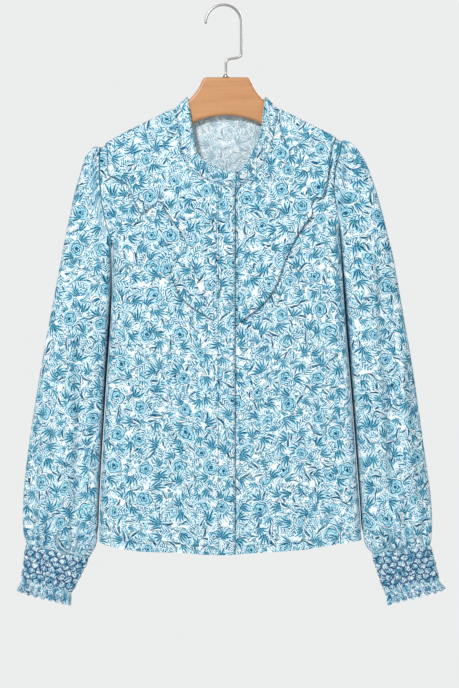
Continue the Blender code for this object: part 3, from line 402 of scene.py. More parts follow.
def along(xs, ys, x):
    """Smooth curve through the points (xs, ys), xs rising: a cubic between each two, with shared slopes."""
    slopes = np.gradient(ys, xs)
    i = np.clip(np.searchsorted(xs, x) - 1, 0, len(xs) - 2)
    span = xs[i + 1] - xs[i]
    t = np.clip((x - xs[i]) / span, 0, 1)
    start = (2 * t**3 - 3 * t**2 + 1) * ys[i] + (t**3 - 2 * t**2 + t) * span * slopes[i]
    return start + (3 * t**2 - 2 * t**3) * ys[i + 1] + (t**3 - t**2) * span * slopes[i + 1]


def finer(values, count):
    """The same list of numbers, carried smoothly over count places."""
    index = np.arange(len(values))
    return along(index, np.asarray(values, dtype=float), np.linspace(0, index[-1], count))


def finer_rows(rows, count):
    """A table with each of its columns carried smoothly over count places."""
    return {column: finer(values, count) for column, values in rows.items()}


def step_up(t):
    """Ease from 0 to 1 as t runs from 0 to 1: three t squared less two t cubed."""
    t = np.clip(t, 0, 1)
    return t * t * (3 - 2 * t)


def quarter(t):
    """Rise of a quarter circle as t runs from 0 to 1: the root of one less the square of one less t."""
    return np.sqrt(1 - (1 - t)**2)


def power(value, exponent):
    """Power of a number's size, with the number's own sign."""
    return np.sign(value) * np.abs(value)**exponent


def unit(vectors):
    """The same directions, each of length 1."""
    return vectors / np.linalg.norm(vectors, axis=-1, keepdims=True)


def summed(steps, axis=0):
    """Running sum of steps along an axis, from 0."""
    return np.cumsum(np.insert(steps, 0, 0, axis=axis), axis=axis)


def lengths(points):
    """Length of a polyline up to each of its points."""
    return summed(np.linalg.norm(np.diff(points, axis=0), axis=1))


def shares(points):
    """Share of a polyline's length at each of its points."""
    return lengths(points) / lengths(points)[-1]


def joined(*parts):
    """Arrays, spread to one shape, along the last axis of one array: such as x, y and z as points."""
    return np.stack(np.broadcast_arrays(*parts), axis=-1)


def even_angles(count):
    """Angles of places that lie evenly round a circle."""
    return 2 * math.pi * np.arange(count) / count


def turned(radii, heights, sides):
    """Grid of a turned shape: a profile of radii and heights, carried round a circle."""
    angles = even_angles(sides)
    return joined(np.outer(radii, np.cos(angles)), np.outer(radii, np.sin(angles)), heights[:, None])


def shoulder_drop(x):
    """Drop of the shoulder line, which is the same on both sides of the hanger's middle."""
    return along(SHOULDER["reach"], SHOULDER["drop"], np.abs(x - HANGER_X))


def side_x(side, drop):
    """Side seam, run on outwards above the underarm so that the body stays flat across the armhole."""
    above_underarm = np.maximum(ARMHOLE[side]["drop"][-1] - drop, 0)
    return along(SIDES["drop"], SIDES[SIDE_NAMES[side]], drop) + side * OUTRUN * above_underarm


def folds(x, drop, rows):
    """Height of the soft folds: each is a bell-shaped ridge or trough round its line, fading at the ends."""
    height = np.zeros_like(x)
    for x0, drop0, x1, drop1, width, lift in zip(*rows.values()):
        length = math.hypot(x1 - x0, drop1 - drop0)
        along_line = ((x - x0) * (x1 - x0) + (drop - drop0) * (drop1 - drop0)) / length**2
        off_line = ((x - x0) * (drop1 - drop0) - (drop - drop0) * (x1 - x0)) / length
        fade = step_up(along_line / FOLD_START) * (1 - step_up((along_line - 1) / FOLD_END))
        height += lift * fade * np.exp(-(off_line / width)**2)
    return height


def ripples(x, drop, shift):
    """Sum of waves down and across, each bent by longer waves so that no two folds are alike."""
    height = np.zeros_like(x)
    for across, down, lift, bend in zip(*RIPPLES.values()):
        sway = bend * np.sin(drop / (LONGER_DOWN * down) + shift)
        sway = sway + np.sin(x / (LONGER_ACROSS * across) + 2 * shift)
        height += lift * np.sin(x / across * 2 + sway + shift) * np.cos(drop / down * 2 + sway - shift)
    return height * bpy.context.scene.blouse_cloth.ripple


def skin(x, drop, facing):
    """Outer face of the body: points and their outward normals, for arrays of x and drop.

    The front and back are pillows: half of the depth, times a quarter circle in from the shoulder line, times
    a quarter circle in from each side, with the folds and ripples added along the normal where it is flat.
    """
    below = np.clip((drop - shoulder_drop(x)) / TOP_ROUND, 0, 1)
    from_right = np.clip((x - side_x(RIGHT, drop)) / SIDE_ROUND, 0, 1)
    from_left = np.clip((side_x(LEFT, drop) - x) / SIDE_ROUND, 0, 1)
    top, sides = quarter(below), quarter(from_right) * quarter(from_left)
    half = along(DEPTH["drop"], DEPTH["half"], drop)
    slope = shoulder_drop(x + 0.5) - shoulder_drop(x - 0.5)
    upward = half * sides**2 * (1 - below) / TOP_ROUND
    sideways = half * top**2 * (from_right - from_left) / SIDE_ROUND + upward * slope
    normal = unit(joined(sideways, facing * top * sides, upward))
    points = joined(x, facing * (SEAM / 2 + half * top * sides), -drop)
    flat = step_up((top * sides - FLAT_BODY) / (1 - FLAT_BODY))
    height = (folds(x, drop, FOLDS[facing]) + ripples(x, drop, facing)) * flat
    return points + normal * height[..., None], normal


def grid_normals(grid, centre, wrap=False):
    """Unit normals of a grid of points, from its rows and columns, on the side away from the centre."""
    across = np.roll(grid, -1, axis=1) - np.roll(grid, 1, axis=1) if wrap else np.gradient(grid, axis=1)
    normals = unit(np.cross(np.gradient(grid, axis=0), across))
    return normals * np.sign(np.sum(normals * (grid - centre)))


def unrolled(points, column=0):
    """Flat place of each point of a body piece: x and z, measured along the cloth with its way in and out."""
    step = np.diff(points, axis=1)
    across = summed(np.sign(step[..., 0]) * np.hypot(step[..., 0], step[..., 1]), axis=1)
    step = np.diff(points, axis=0)
    down = summed(-np.hypot(step[..., 1], step[..., 2]))
    u = points[:, column, None, 0] + across - across[:, column, None]
    return joined(u, points[None, 0, :, 2] + down)


# ---- meshes ----

def add_mesh(name, points, faces, material, sharp=50, maps=None, attributes=None):
    """Put points in millimetres and faces into a mesh at the origin, smooth but for its sharp edges.

    The sign of the volume, summed over fans of each face, tells whether the faces have to be turned outwards.
    """
    points = points * MM
    first, *rest = np.moveaxis(points[faces], 1, 0)
    volume = sum(np.sum(first * np.cross(second, third)) for second, third in zip(rest, rest[1:]))
    order = slice(None, None, -1 if volume < 0 else 1)
    mesh = bpy.data.meshes.new(name)
    mesh.from_pydata(points.tolist(), [], faces[:, order].tolist())
    for label, places in (maps or {}).items():
        layer = mesh.uv_layers.new(name=label)
        layer.data.foreach_set("uv", (places[:, order] * MM).astype(np.float32).ravel())
    for label, values in (attributes or {}).items():
        layer = mesh.attributes.new(label, "FLOAT", "POINT")
        layer.data.foreach_set("value", values.astype(np.float32).ravel())
    mesh.shade_smooth()
    mesh.set_sharp_from_angle(angle=math.radians(sharp))
    mesh.materials.append(material)
    piece = bpy.data.objects.new(name, mesh)
    bpy.context.scene.collection.objects.link(piece)
    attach(piece, "root")
    return piece


def wall_corners(rows, columns, wrap):
    """(row, column, side) of the four corners of each face of a closed wall, side 0 outside and 1 inside."""
    spans = columns if wrap else columns - 1
    i, j = (index.ravel() for index in np.indices((rows - 1, spans)))
    row, column = joined(i, i, i + 1, i + 1), joined(j, j + 1, j + 1, j)
    faces = [joined(row, column, 0), joined(row, column, 1)[:, ::-1]]

    def strip(row0, column0, row1, column1):
        """Faces that close the wall along one of its edges."""
        corners = (row1, column1, 0), (row0, column0, 0), (row0, column0, 1), (row1, column1, 1)
        return np.stack([joined(*corner) for corner in corners], axis=1)

    j, i = np.arange(spans), np.arange(rows - 1)
    faces += [strip(0, j, 0, j + 1), strip(rows - 1, j + 1, rows - 1, j)]
    if not wrap:
        faces += [strip(i + 1, 0, i, 0), strip(i, columns - 1, i + 1, columns - 1)]
    return np.concatenate(faces)


def cloth_wall(node, outer, inner, cut, seam=None, groove=None, wrap=False, cloth=None):
    """One layer of cloth: a closed wall between two grids, with maps of its flat cut and its seams.

    On a wrapped grid each map has one column more than the grid, so that it runs on over the joint.
    """
    rows, columns = outer.shape[:2]
    corners = wall_corners(rows, columns, wrap)
    row, column, side = corners[..., 0], corners[..., 1], corners[..., 2]
    faces = side * rows * columns + row * columns + column % columns
    points = np.concatenate([outer.reshape(-1, 3), inner.reshape(-1, 3)])
    seam = np.full(cut.shape, NO_SEAM) if seam is None else seam
    maps = {"cut": cut[row, column] + CUT_FROM[node], "seam": seam[row, column]}
    shares_at = {"inside": np.repeat([0.0, 1.0], rows * columns)}
    # groove: where the material draws painted shade, and on the cuffs also dark thread
    if groove is not None:
        shares_at["groove"] = np.concatenate([groove.ravel(), np.zeros(rows * columns)])
    return add_mesh(node + "_cloth", points, faces, material(cloth or flower_cloth), maps=maps,
                    attributes=shares_at)


def thickness():
    """Thickness of one layer of cloth, in millimetres."""
    return bpy.context.scene.blouse_cloth.thickness / MM


# ---- materials ----

def connect(tree, node, inputs):
    """Give a node's inputs, named or numbered, their values or what feeds them."""
    for name, value in inputs.items():
        if isinstance(value, Number):
            value = value.socket
        if isinstance(value, bpy.types.NodeSocket):
            tree.links.new(value, node.inputs[name])
        else:
            node.inputs[name].default_value = value


def add_node(tree, kind, inputs=None, **settings):
    """A node with its settings and its inputs."""
    node = tree.nodes.new(kind)
    for name, value in settings.items():
        setattr(node, name, value)
    connect(tree, node, inputs or {})
    return node


class Number:
    """A number worked out in a material: each operator on it adds a Math node."""

    def __init__(self, tree, socket):
        self.tree, self.socket = tree, socket

    def math(self, operation, *others, clamp=False):
        """The result of one Math node on this number and others."""
        node = add_node(self.tree, "ShaderNodeMath", dict(enumerate((self, *others))), operation=operation,
                        use_clamp=clamp)
        return Number(self.tree, node.outputs[0])

    __add__ = __radd__ = partialmethod(math, "ADD")
    __mul__ = __rmul__ = partialmethod(math, "MULTIPLY")
    __sub__, __rsub__ = partialmethod(math, "SUBTRACT"), partialmethod(math, "MULTIPLY_ADD", -1.0)
    __truediv__, __mod__ = partialmethod(math, "DIVIDE"), partialmethod(math, "FLOORED_MODULO")
    __abs__, floor = partialmethod(math, "ABSOLUTE"), partialmethod(math, "FLOOR")
    sin, cos = partialmethod(math, "SINE"), partialmethod(math, "COSINE")
    power, most = partialmethod(math, "POWER"), partialmethod(math, "MAXIMUM")

    def clamped(self):
        """The number kept between 0 and 1."""
        return self.math("ADD", 0.0, clamp=True)

    def below(self, edge, soft):
        """1 where the number is under edge, easing to 0 over soft."""
        return ((edge - self) * (1 / soft)).math("ADD", 0.5, clamp=True)

    def saw(self):
        """Distance to the nearest whole number and a half: 0 half way between whole numbers, 0.5 at them."""
        return abs((self % 1.0) - 0.5)


def attribute(tree, label):
    """A number stored at the points of the mesh."""
    return Number(tree, add_node(tree, "ShaderNodeAttribute", attribute_name=label).outputs["Fac"])


def split(tree, vector):
    """The first two numbers of a vector."""
    node = add_node(tree, "ShaderNodeSeparateXYZ", {0: vector})
    return Number(tree, node.outputs[0]), Number(tree, node.outputs[1])


def vector_math(tree, operation, inputs):
    """A vector worked out from others."""
    return add_node(tree, "ShaderNodeVectorMath", inputs, operation=operation).outputs[0]


def stretched(tree, place, scale):
    """A place with each of its numbers multiplied by its own scale."""
    return add_node(tree, "ShaderNodeMapping", {"Vector": place, "Scale": scale}).outputs[0]


def map_place(tree, label):
    """Place on one of the piece's own maps, in millimetres."""
    place = add_node(tree, "ShaderNodeUVMap", uv_map=label).outputs[0]
    return vector_math(tree, "SCALE", {0: place, "Scale": 1 / MM})


def object_place(tree):
    """The piece's own place in space, in metres."""
    return add_node(tree, "ShaderNodeTexCoord").outputs["Object"]


def chance_node(tree, place, size, detail, kind="2D"):
    """Node of smooth chance that changes over about size."""
    return add_node(tree, "ShaderNodeTexNoise", {"Vector": place, "Scale": 1 / size, "Detail": detail},
                    noise_dimensions=kind)


def noise(tree, place, size, detail=0.0, kind="2D"):
    """Smooth chance from 0 to 1."""
    return Number(tree, chance_node(tree, place, size, detail, kind).outputs["Fac"])


def colour(values):
    """A colour with its full cover."""
    return (*values, 1.0)


def blend(tree, share, first, second):
    """Colour between two others."""
    return add_node(tree, "ShaderNodeMix", {0: share, 6: first, 7: second}, data_type="RGBA").outputs[2]


def bump(tree, height, distance):
    """Direction of the face, bent by a height from 0 to 1, of that many millimetres."""
    inputs = {"Height": height, "Distance": distance * MM, "Strength": 1.0}
    return add_node(tree, "ShaderNodeBump", inputs).outputs[0]


def material(fill, name=None):
    """The material of this name, made at its first use: fill gives the inputs of its shader."""
    name = name or fill.__name__
    if name not in bpy.data.materials:
        made = bpy.data.materials.new(name)
        made.use_nodes = True
        tree = made.node_tree
        connect(tree, tree.nodes["Principled BSDF"], fill(tree))
    return bpy.data.materials[name]


class FlowerPrint:
    """A dense all-over print. Each motif is drawn round the middle of a cell, turned by chance.

    A motif gives two numbers: its tone, from 0 for bare cloth to 1 for the darkest ink, and where it covers
    the motifs under it. Its first two arguments are the distance between cells and where they start.
    """

    SOFT = 0.35                             # millimetres over which the ink's edge fades
    WOBBLE, WOBBLE_SIZE = 7.0, 22.0         # the drawing is bent a little, so that no motif repeats exactly
    SCATTER = 0.8                           # how unevenly most cells lie
    STRENGTH = 1.26                         # of all the ink

    def __init__(self, tree, scale):
        self.tree = tree
        place = vector_math(tree, "SCALE", {0: map_place(tree, "cut"), "Scale": 1 / scale})
        bend = chance_node(tree, place, self.WOBBLE_SIZE, 1.0).outputs["Color"]
        self.place = vector_math(tree, "MULTIPLY_ADD", {0: bend, 1: (self.WOBBLE, self.WOBBLE, 0), 2: place})

    def cells(self, pitch, start, scatter=SCATTER):
        """x and y from the middle of the nearest cell, turned by chance, and one more chance number."""
        tree = self.tree
        moved = vector_math(tree, "ADD", {0: self.place, 1: (*start, 0)})
        cell = add_node(tree, "ShaderNodeTexVoronoi",
                        {"Vector": moved, "Scale": 1 / pitch, "Randomness": scatter},
                        voronoi_dimensions="2D", feature="F1")
        x, y = split(tree, vector_math(tree, "SUBTRACT", {0: moved, 1: cell.outputs["Position"]}))
        chance = add_node(tree, "ShaderNodeSeparateColor", {0: cell.outputs["Color"]})
        turn = Number(tree, chance.outputs[0]) * (2 * math.pi)
        cos, sin = turn.cos(), turn.sin()
        return x * cos + y * sin, y * cos - x * sin, Number(tree, chance.outputs[1])

    def polar(self, x, y):
        """Distance from the middle, and angle from x towards y."""
        return (x * x + y * y).math("SQRT"), y.math("ARCTAN2", x)

    def spine(self, pitch, start, length, bend):
        """A bent line through the cell: x from its start, y, the distance off it, the share along it, and 1
        between its ends."""
        x, y, chance = self.cells(pitch, start)
        y = y + x * x * (chance * bend - bend / 2)
        x = x + length / 2
        run = (x * (1 / length)).clamped()
        return x, y, abs(y), run, abs(run - 0.5).below(0.49, 0.01)

    def rose(self, pitch, start, size):
        """Rings of round petals: the radius, in quarters of the size, is notched by waves of the angle, and
        each ring's outline is darker on one side."""
        x, y, chance = self.cells(pitch, start, 0.7)
        radius, angle = self.polar(x, y)
        reach = radius / (chance * (0.35 * size) + 0.75 * size)
        ring = (reach * 4).floor()
        step = reach * 4 - abs((angle * 2.5 + ring * 1.9 + reach * 1.5).sin()) * 0.55
        edge = step % 1.0
        side = (angle + ring * 2.4 + chance * 6).sin() * 0.5 + 0.6
        tone = (0.5 - abs(edge - 0.5)).below(0.20, 0.14) * side * 0.75 + (0.38 - edge.power(1.6) * 0.34)
        return (tone + reach.below(0.18, 0.12) * 0.35) * step.below(3.2, 0.1), step.below(3.6, 0.1)

    def fern(self, pitch, start, length, width, leaflet, dark):
        """A bent stem with slanted leaflets, inside an outline that swells and closes along it."""
        x, _, off, run, inside = self.spine(pitch, start, length, 0.05)
        outline = (run * (1 - run)).power(0.6) * (width * 2.1)
        blade = ((x - off * (1.3 - off * 0.07)) * (1 / leaflet)).saw().below(0.27, 0.16) * dark
        tone = (blade * off.below(outline, self.SOFT)).most(off.below(0.5, self.SOFT) * dark)
        return tone * inside, off.below(outline + 0.6, self.SOFT) * inside

    def leaf(self, pitch, start, length, width, dark):
        """A bent leaf: one half is inked and darkens along it, and the other is bare but for its outline."""
        _, y, off, run, inside = self.spine(pitch, start, length, 0.06)
        outline = (run * (1 - run)) * (width * 2)
        fill = y.below(0.3, 0.5) * (run * 0.5 + 0.35) * off.below(outline, self.SOFT)
        lines = (abs(off - outline).below(0.45, 0.4) + off.below(0.3, 0.3)) * dark
        tone = fill.most(lines * off.below(outline + 0.5, 0.3))
        return tone * inside, off.below(outline + 0.8, self.SOFT) * inside

    def fan(self, pitch, start, size, leaves, dark, spread=1.8, fullness=2.0):
        """Pointed leaves spread from one foot and bent to one side: each sector of the angle holds a leaf,
        whose width is a hump along it, darker towards the foot and on one side."""
        x, y, chance = self.cells(pitch, start)
        y = y + size * 0.5
        radius, angle = self.polar(y, x)
        angle = angle + (chance - 0.5) * radius * (2.4 / size)
        sector = spread / leaves
        place = angle * (1 / sector)
        across = (place % 1.0 - 0.5) * radius * sector
        length = (place.floor() * 2.4 + chance * 9).sin() * (0.16 * size) + 0.84 * size
        off, run = abs(across), (radius / length).clamped()
        outline = run.power(1.4) * (1 - run) * (fullness * size / leaves)
        tone = across.below(0.0, 0.5) * 0.32 + (1 - run) * 0.26 + 0.17
        tone = tone * off.below(outline, self.SOFT) * dark
        inside = abs(angle).below(spread / 2, 0.04) * run.below(0.985, 0.01)
        return tone * inside, off.below(outline + 1.0, self.SOFT) * inside

    def blossom(self, pitch, start, size, petals, dark):
        """A small round flower whose radius swells with waves of the angle, outlined, with a dark heart."""
        x, y, _ = self.cells(pitch, start, 0.9)
        radius, angle = self.polar(x, y)
        edge = (abs((angle * (petals / 2)).sin()) * 0.55 + 0.45) * size
        tone = (radius.below(edge, self.SOFT) * 0.32).most(abs(radius - edge).below(0.5, 0.35) * dark)
        return tone.most(radius.below(size * 0.3, 0.4) * dark), radius.below(edge + 0.6, self.SOFT)

    def tendrils(self, size, width, dark):
        """Thin winding stems: the level lines of a smooth noise."""
        return (noise(self.tree, self.place, size) * 9).saw().below(width, 0.06) * dark

    def tone(self, rose_pitch, rose_size):
        """All motifs, from the thin stems at the bottom to the sprays over the roses, unevenly inked."""
        small = (self.blossom(10.5, (3, 5), size=2.8, petals=5, dark=0.75),
                 self.fan(13, (47, 11), size=10, leaves=3, dark=0.95, fullness=1.3),
                 self.blossom(18, (31, 17), size=4.2, petals=6, dark=0.85),
                 self.fern(21, (11, 47), length=17, width=6.0, leaflet=4.4, dark=0.46),
                 self.leaf(19, (57, 23), length=17, width=5.2, dark=0.70))
        large = (self.fan(24, (7, 61), size=18, leaves=4, dark=1.0),
                 self.leaf(31, (97, 61), length=24, width=6.2, dark=0.78),
                 self.fan(35, (19, 83), size=26, leaves=5, dark=1.1),
                 self.rose(rose_pitch, (41, 29), rose_size),
                 self.fern(47, (71, 9), length=21, width=6.4, leaflet=4.8, dark=0.54),
                 self.fan(44, (133, 7), size=25, leaves=4, dark=1.15, spread=1.6))
        tone = self.tendrils(24, 0.09, 0.6)
        for motif, cover in small:
            tone = tone * (1 - cover) + motif
        tone = tone * noise(self.tree, self.place, 14, 1.0).below(0.64, 0.03)
        for motif, cover in large:
            tone = tone * (1 - cover) + motif
        return tone * (noise(self.tree, self.place, 2.6, 1.0) * 1.3 + 0.38) * self.STRENGTH


def printed(tree):
    """Colour of the printed cloth: the print's tone, a little darker in patches, through a ramp of inks."""
    ink = bpy.context.scene.blouse_print
    full_size = ink.scale * MM
    tone = FlowerPrint(tree, ink.scale).tone(ink.rose_pitch / full_size, ink.rose_size / full_size)
    patches = noise(tree, map_place(tree, "cut"), 90, 1.0) * 0.12 - 0.06
    ramp = add_node(tree, "ShaderNodeValToRGB", {0: tone + patches * tone})
    inks = ((0.0, ink.ground), (0.28, ink.wash), (0.50, ink.middle), (0.72, ink.deep), (0.96, ink.dark))
    elements = ramp.color_ramp.elements
    while len(elements) < len(inks):
        elements.new(0.5)
    for element, (position, value) in zip(elements, inks):
        element.position, element.color = position, colour(value)
    return ramp.outputs[0]


def weave(tree, place, relief):
    """Height of the woven cloth on a larger relief: crossed threads, twenty to the centimetre, as a product
    of two waves, and small slubs."""
    u, v = (along_thread * (2 * math.pi / 0.5) for along_thread in split(tree, place))
    return (u.sin() * v.sin() * 0.25 + noise(tree, place, 3.0, 2.0) * 0.5) * 0.2 + relief


def flower_cloth(tree):
    """Printed cloth, washed out on its inner face, with soft creases, stitched lines that also carry painted
    shade along seams and edges, and painted shade in the sleeves' tucks.
    """
    cloth, ink = bpy.context.scene.blouse_cloth, bpy.context.scene.blouse_print
    face = blend(tree, attribute(tree, "inside") * 0.42, printed(tree), colour(ink.ground))
    run, off = split(tree, map_place(tree, "seam"))
    groove, painted_tuck_shade = abs(off).below(0.5, 0.7), attribute(tree, "groove")
    dash = (run * (1 / STITCH_PITCH)).saw().below(STITCH_LENGTH / STITCH_PITCH / 2, 0.1)
    # Painted shade: seam lines, dark as stitches and as the shade along seams and edges, and the tucks take
    # the darkest ink.
    face = blend(tree, (groove * 0.80).most(painted_tuck_shade), face, colour(ink.dark))
    place = map_place(tree, "cut")
    creases = noise(tree, place, 26, 2.0) * 3.0
    relief = weave(tree, place, creases) - groove * (1.6 - dash * 0.8)
    # The painted shade of the tucks also takes the sheen away there.
    return {"Base Color": face, "Roughness": cloth.roughness, "Specular IOR Level": 0.3,
            "Sheen Weight": (1 - painted_tuck_shade) * 0.12, "Sheen Roughness": 0.4, "Normal": bump(tree, relief, 0.16)}


def smocked_flower_cloth(tree):
    """Printed cloth drawn up into bubbles, with fine pleats, and dark thread in the grooves between them. The
    same dark colour is painted shade in the grooves, in the pleats' creases and in the frill's hollows.
    """
    cloth = bpy.context.scene.blouse_cloth
    face = printed(tree)
    place = map_place(tree, "cut")
    pleats = noise(tree, stretched(tree, place, (2.6, 1, 1)), 5, 2.0)
    # Painted shade: grooves and pleat creases are darkened towards the thread's colour, along with the thread
    # itself.
    thread_and_painted_shade = ((attribute(tree, "groove") + (pleats - 0.5) * 2.4 - 0.37) * 4.0).clamped()
    return {"Base Color": blend(tree, thread_and_painted_shade * 0.96, face, colour(cloth.smock_thread_and_shade)),
            "Roughness": cloth.roughness, "Specular IOR Level": 0.3, "Sheen Weight": 0.12,
            "Normal": bump(tree, weave(tree, place, pleats * 3.0), 0.3)}


def plain_material(name, value, roughness, mottle, size=2.0, finish=None):
    """One colour, darker in mottles of that size in millimetres, on the piece's own place in space."""
    def fill(tree):
        """The shader's inputs."""
        uneven = noise(tree, object_place(tree), size * MM, 2.0, "3D")
        darker = [v * (1 - mottle * 2) for v in value]
        return {"Base Color": blend(tree, uneven, colour(value), colour(darker)), "Roughness": roughness,
                "Normal": bump(tree, uneven, 0.02), **(finish or {})}
    return material(fill, name)


def beech(tree):
    """Long soft bands, fine lines and short dark flecks, all drawn out along the board."""
    hanger = bpy.context.scene.blouse_hanger
    place = object_place(tree)

    def grain(length, height, detail):
        """Chance that changes over a length along the board, and over a height across it."""
        scale = 1 / (length * MM), 1 / (height * MM), 1 / (height * MM)
        return noise(tree, stretched(tree, place, scale), 1.0, detail, "3D")

    bands, lines = grain(130, 7, 3.0), grain(40, 0.8, 2.0)
    flecks = ((grain(4.5, 0.45, 0.0) - 0.64) * 9.0).clamped()
    share = ((bands - 0.36) * 1.7 + (lines - 0.5) * 0.9 + flecks * 0.45).clamped()
    return {"Base Color": blend(tree, share, colour(hanger.wood), colour(hanger.grain)), "Roughness": 0.42,
            "Coat Weight": 0.15, "Coat Roughness": 0.35,
            "Normal": bump(tree, lines * 0.5 - flecks * 0.5, 0.05)}


# ---- body ----

def armhole_points(side, count=ARMHOLE_ROWS):
    """x, drop and share of the seam at each row of an armhole."""
    rows = ARMHOLE[side]
    share, steps = shares(joined(rows["x"], rows["drop"])), finer(ARMHOLE_STEPS, count)
    return along(share, rows["x"], steps), along(share, rows["drop"], steps), steps


def side_boundary(side):
    """x and drop down the side of a body piece: the armhole seam, then the side seam."""
    x, drop, _ = armhole_points(side)
    hem = HEM["drop"][0 if side == RIGHT else -1]
    seam_drop = drop[-1] + (hem - drop[-1]) * np.arange(1, SIDE_ROWS + 1) / SIDE_ROWS
    return np.concatenate([x, side_x(side, seam_drop)]), np.concatenate([drop, seam_drop])


def neck_edge(rows, count):
    """x and drop of a body piece's neck edge: the neck seam, moved away from the neck by a seam's width."""
    x, drop = finer(rows["seam_x"], count), finer(rows["seam_drop"], count)
    away = unit(joined(np.gradient(drop), -np.gradient(x)))
    outward = joined(x - HANGER_X, drop - SHOULDER["drop"][0])
    away *= np.sign(np.sum(away * outward, axis=1, keepdims=True))
    return x + NECK_SEAM * away[:, 0], drop + NECK_SEAM * away[:, 1]


def turn_columns():
    """Distances from a side seam of the columns where the cloth turns round it: steps of one angle."""
    return SIDE_ROUND * (1 - np.cos(np.linspace(math.pi / 2, 0, TURN_COLUMNS)))[1:]


def shoulder_columns(side):
    """x along the shoulder line, from just outside the neck seam to the shoulder point."""
    end = ARMHOLE[side]["x"][0]
    start = NECK[side]["seam_x"][0] + side * NECK_SEAM
    even = np.linspace(start, end - side * SIDE_ROUND, SHOULDER_COLUMNS)
    return np.concatenate([even, end - side * turn_columns()])


def run_share(values):
    """The share of its whole run that a row of values has gone at each place."""
    return (values - values[0]) / (values[-1] - values[0])


def body_grid(top_x, top_drop, edges, share):
    """x and drop of a body piece's grid, where share runs from the first of its two edges to the second.

    Columns start along the neck and shoulder and ease, by a share of the fall, into hanging evenly.
    """
    (x0, drop0), (x1, drop1) = edges
    fall0, fall1, top_share = run_share(drop0), run_share(drop1), run_share(top_x)
    settled = step_up((fall0 + fall1) / 2 / SETTLED_FALL)[:, None]
    upper = top_x[None, :] + np.outer(x0 - x0[0], (1 - top_share)**TOP_SPREAD)
    upper += np.outer(x1 - x1[0], top_share**TOP_SPREAD)
    lower = x0[:, None] + np.outer(x1 - x0, share)
    x = (1 - settled) * upper + settled * lower
    where = (1 - settled) * top_share[None, :] + settled * share[None, :]
    fall = fall0[:, None] + (fall1 - fall0)[:, None] * where
    hem_drop = along(HEM["x"], HEM["drop"], x[-1])
    return x, top_drop[None, :] + (hem_drop - top_drop)[None, :] * fall


def hem_map(x, drop, edge_x=-NO_SEAM):
    """Seam map of a body piece: x, and the way off the hem's stitches or a closing edge, the nearer one."""
    # Painted shade: the dark line along a closing edge stands for the shadow of that edge.
    over_hem = (drop[-1:, :] - drop - HEM_STITCH) / STITCH_FINE
    from_edge = np.abs(x - edge_x) / EDGE_BROAD
    return joined(x, np.where(np.abs(over_hem) < from_edge, over_hem, from_edge))


def sunk_by(lap, x):
    """How far an under end lies behind at x: it eases from nothing to its whole lap."""
    return lap * step_up((LAP_START_X - x) / (LAP_START_X - LAP_FULL_X))


def front(node, side, edge_x):
    """One front, from its closing edge to its armhole and side seam; the left one sinks behind the right."""
    neck_x, neck_drop = (line[::-1] for line in neck_edge(NECK[side], NECK_COLUMNS))
    neck_x[0] = edge_x
    shoulder_x = shoulder_columns(side)
    top_x = np.concatenate([neck_x[:-1], shoulder_x])
    top_drop = np.concatenate([neck_drop[:-1], shoulder_drop(shoulder_x)])
    side_edge = side_boundary(side)
    hem_end = side_edge[0][-1]
    flat = np.linspace(edge_x, hem_end - side * SIDE_ROUND, len(top_x) - TURN_COLUMNS + 1)
    share = run_share(np.concatenate([flat, hem_end - side * turn_columns()]))
    closing_edge = np.full(len(side_edge[1]), edge_x), side_edge[1]
    x, drop = body_grid(top_x, top_drop, (closing_edge, side_edge), share)
    points, normals = skin(x, drop, FRONT)
    if side == LEFT:
        points = points - normals * sunk_by(LAP, x)[..., None]
    return cloth_wall(node, points, points - normals * thickness(), unrolled(points),
                      hem_map(x, drop, edge_x))


def back(node):
    """The back, from armhole to armhole, with its own shallower neck."""
    right_x, left_x = shoulder_columns(RIGHT)[::-1], shoulder_columns(LEFT)
    neck_x, neck_drop = neck_edge(BACK_NECK, BACK_NECK_COLUMNS)
    top_x = np.concatenate([right_x, neck_x, left_x])
    top_drop = np.concatenate([shoulder_drop(right_x), neck_drop, shoulder_drop(left_x)])
    edges = side_boundary(RIGHT), side_boundary(LEFT)
    start, end = edges[0][0][-1], edges[1][0][-1]
    flat = np.linspace(start + SIDE_ROUND, end - SIDE_ROUND, len(top_x) - 2 * (TURN_COLUMNS - 1))
    low_x = np.concatenate([start + turn_columns()[::-1], flat, end - turn_columns()])
    x, drop = body_grid(top_x, top_drop, edges, run_share(low_x))
    points, normals = skin(x, drop, BACK)
    return cloth_wall(node, points, points - normals * thickness(), unrolled(points, len(top_x) // 2),
                      hem_map(x, drop))


def placket(node):
    """The strip along the upper front's edge: even columns from neck to hem, lifted off that front's skin."""
    x = np.linspace(PLACKET_LEFT_X, PLACKET_RIGHT_X, PLACKET_COLUMNS)
    top = along(NECK[RIGHT]["seam_x"], NECK[RIGHT]["seam_drop"], x) + PLACKET_TOP
    bottom = along(HEM["x"], HEM["drop"], x)
    drop = top + (bottom - top) * np.linspace(0, 1, PLACKET_ROWS)[:, None]
    x = np.broadcast_to(x, drop.shape)
    points, normals = skin(x, drop, FRONT)
    inner = points + normals * SEAM
    from_edge = np.minimum(PLACKET_LEFT_X - x, x - PLACKET_RIGHT_X)
    return cloth_wall(node, inner + normals * thickness(), inner, unrolled(points),
                      joined(drop, (from_edge - BAND_STITCH) / STITCH_FINE))


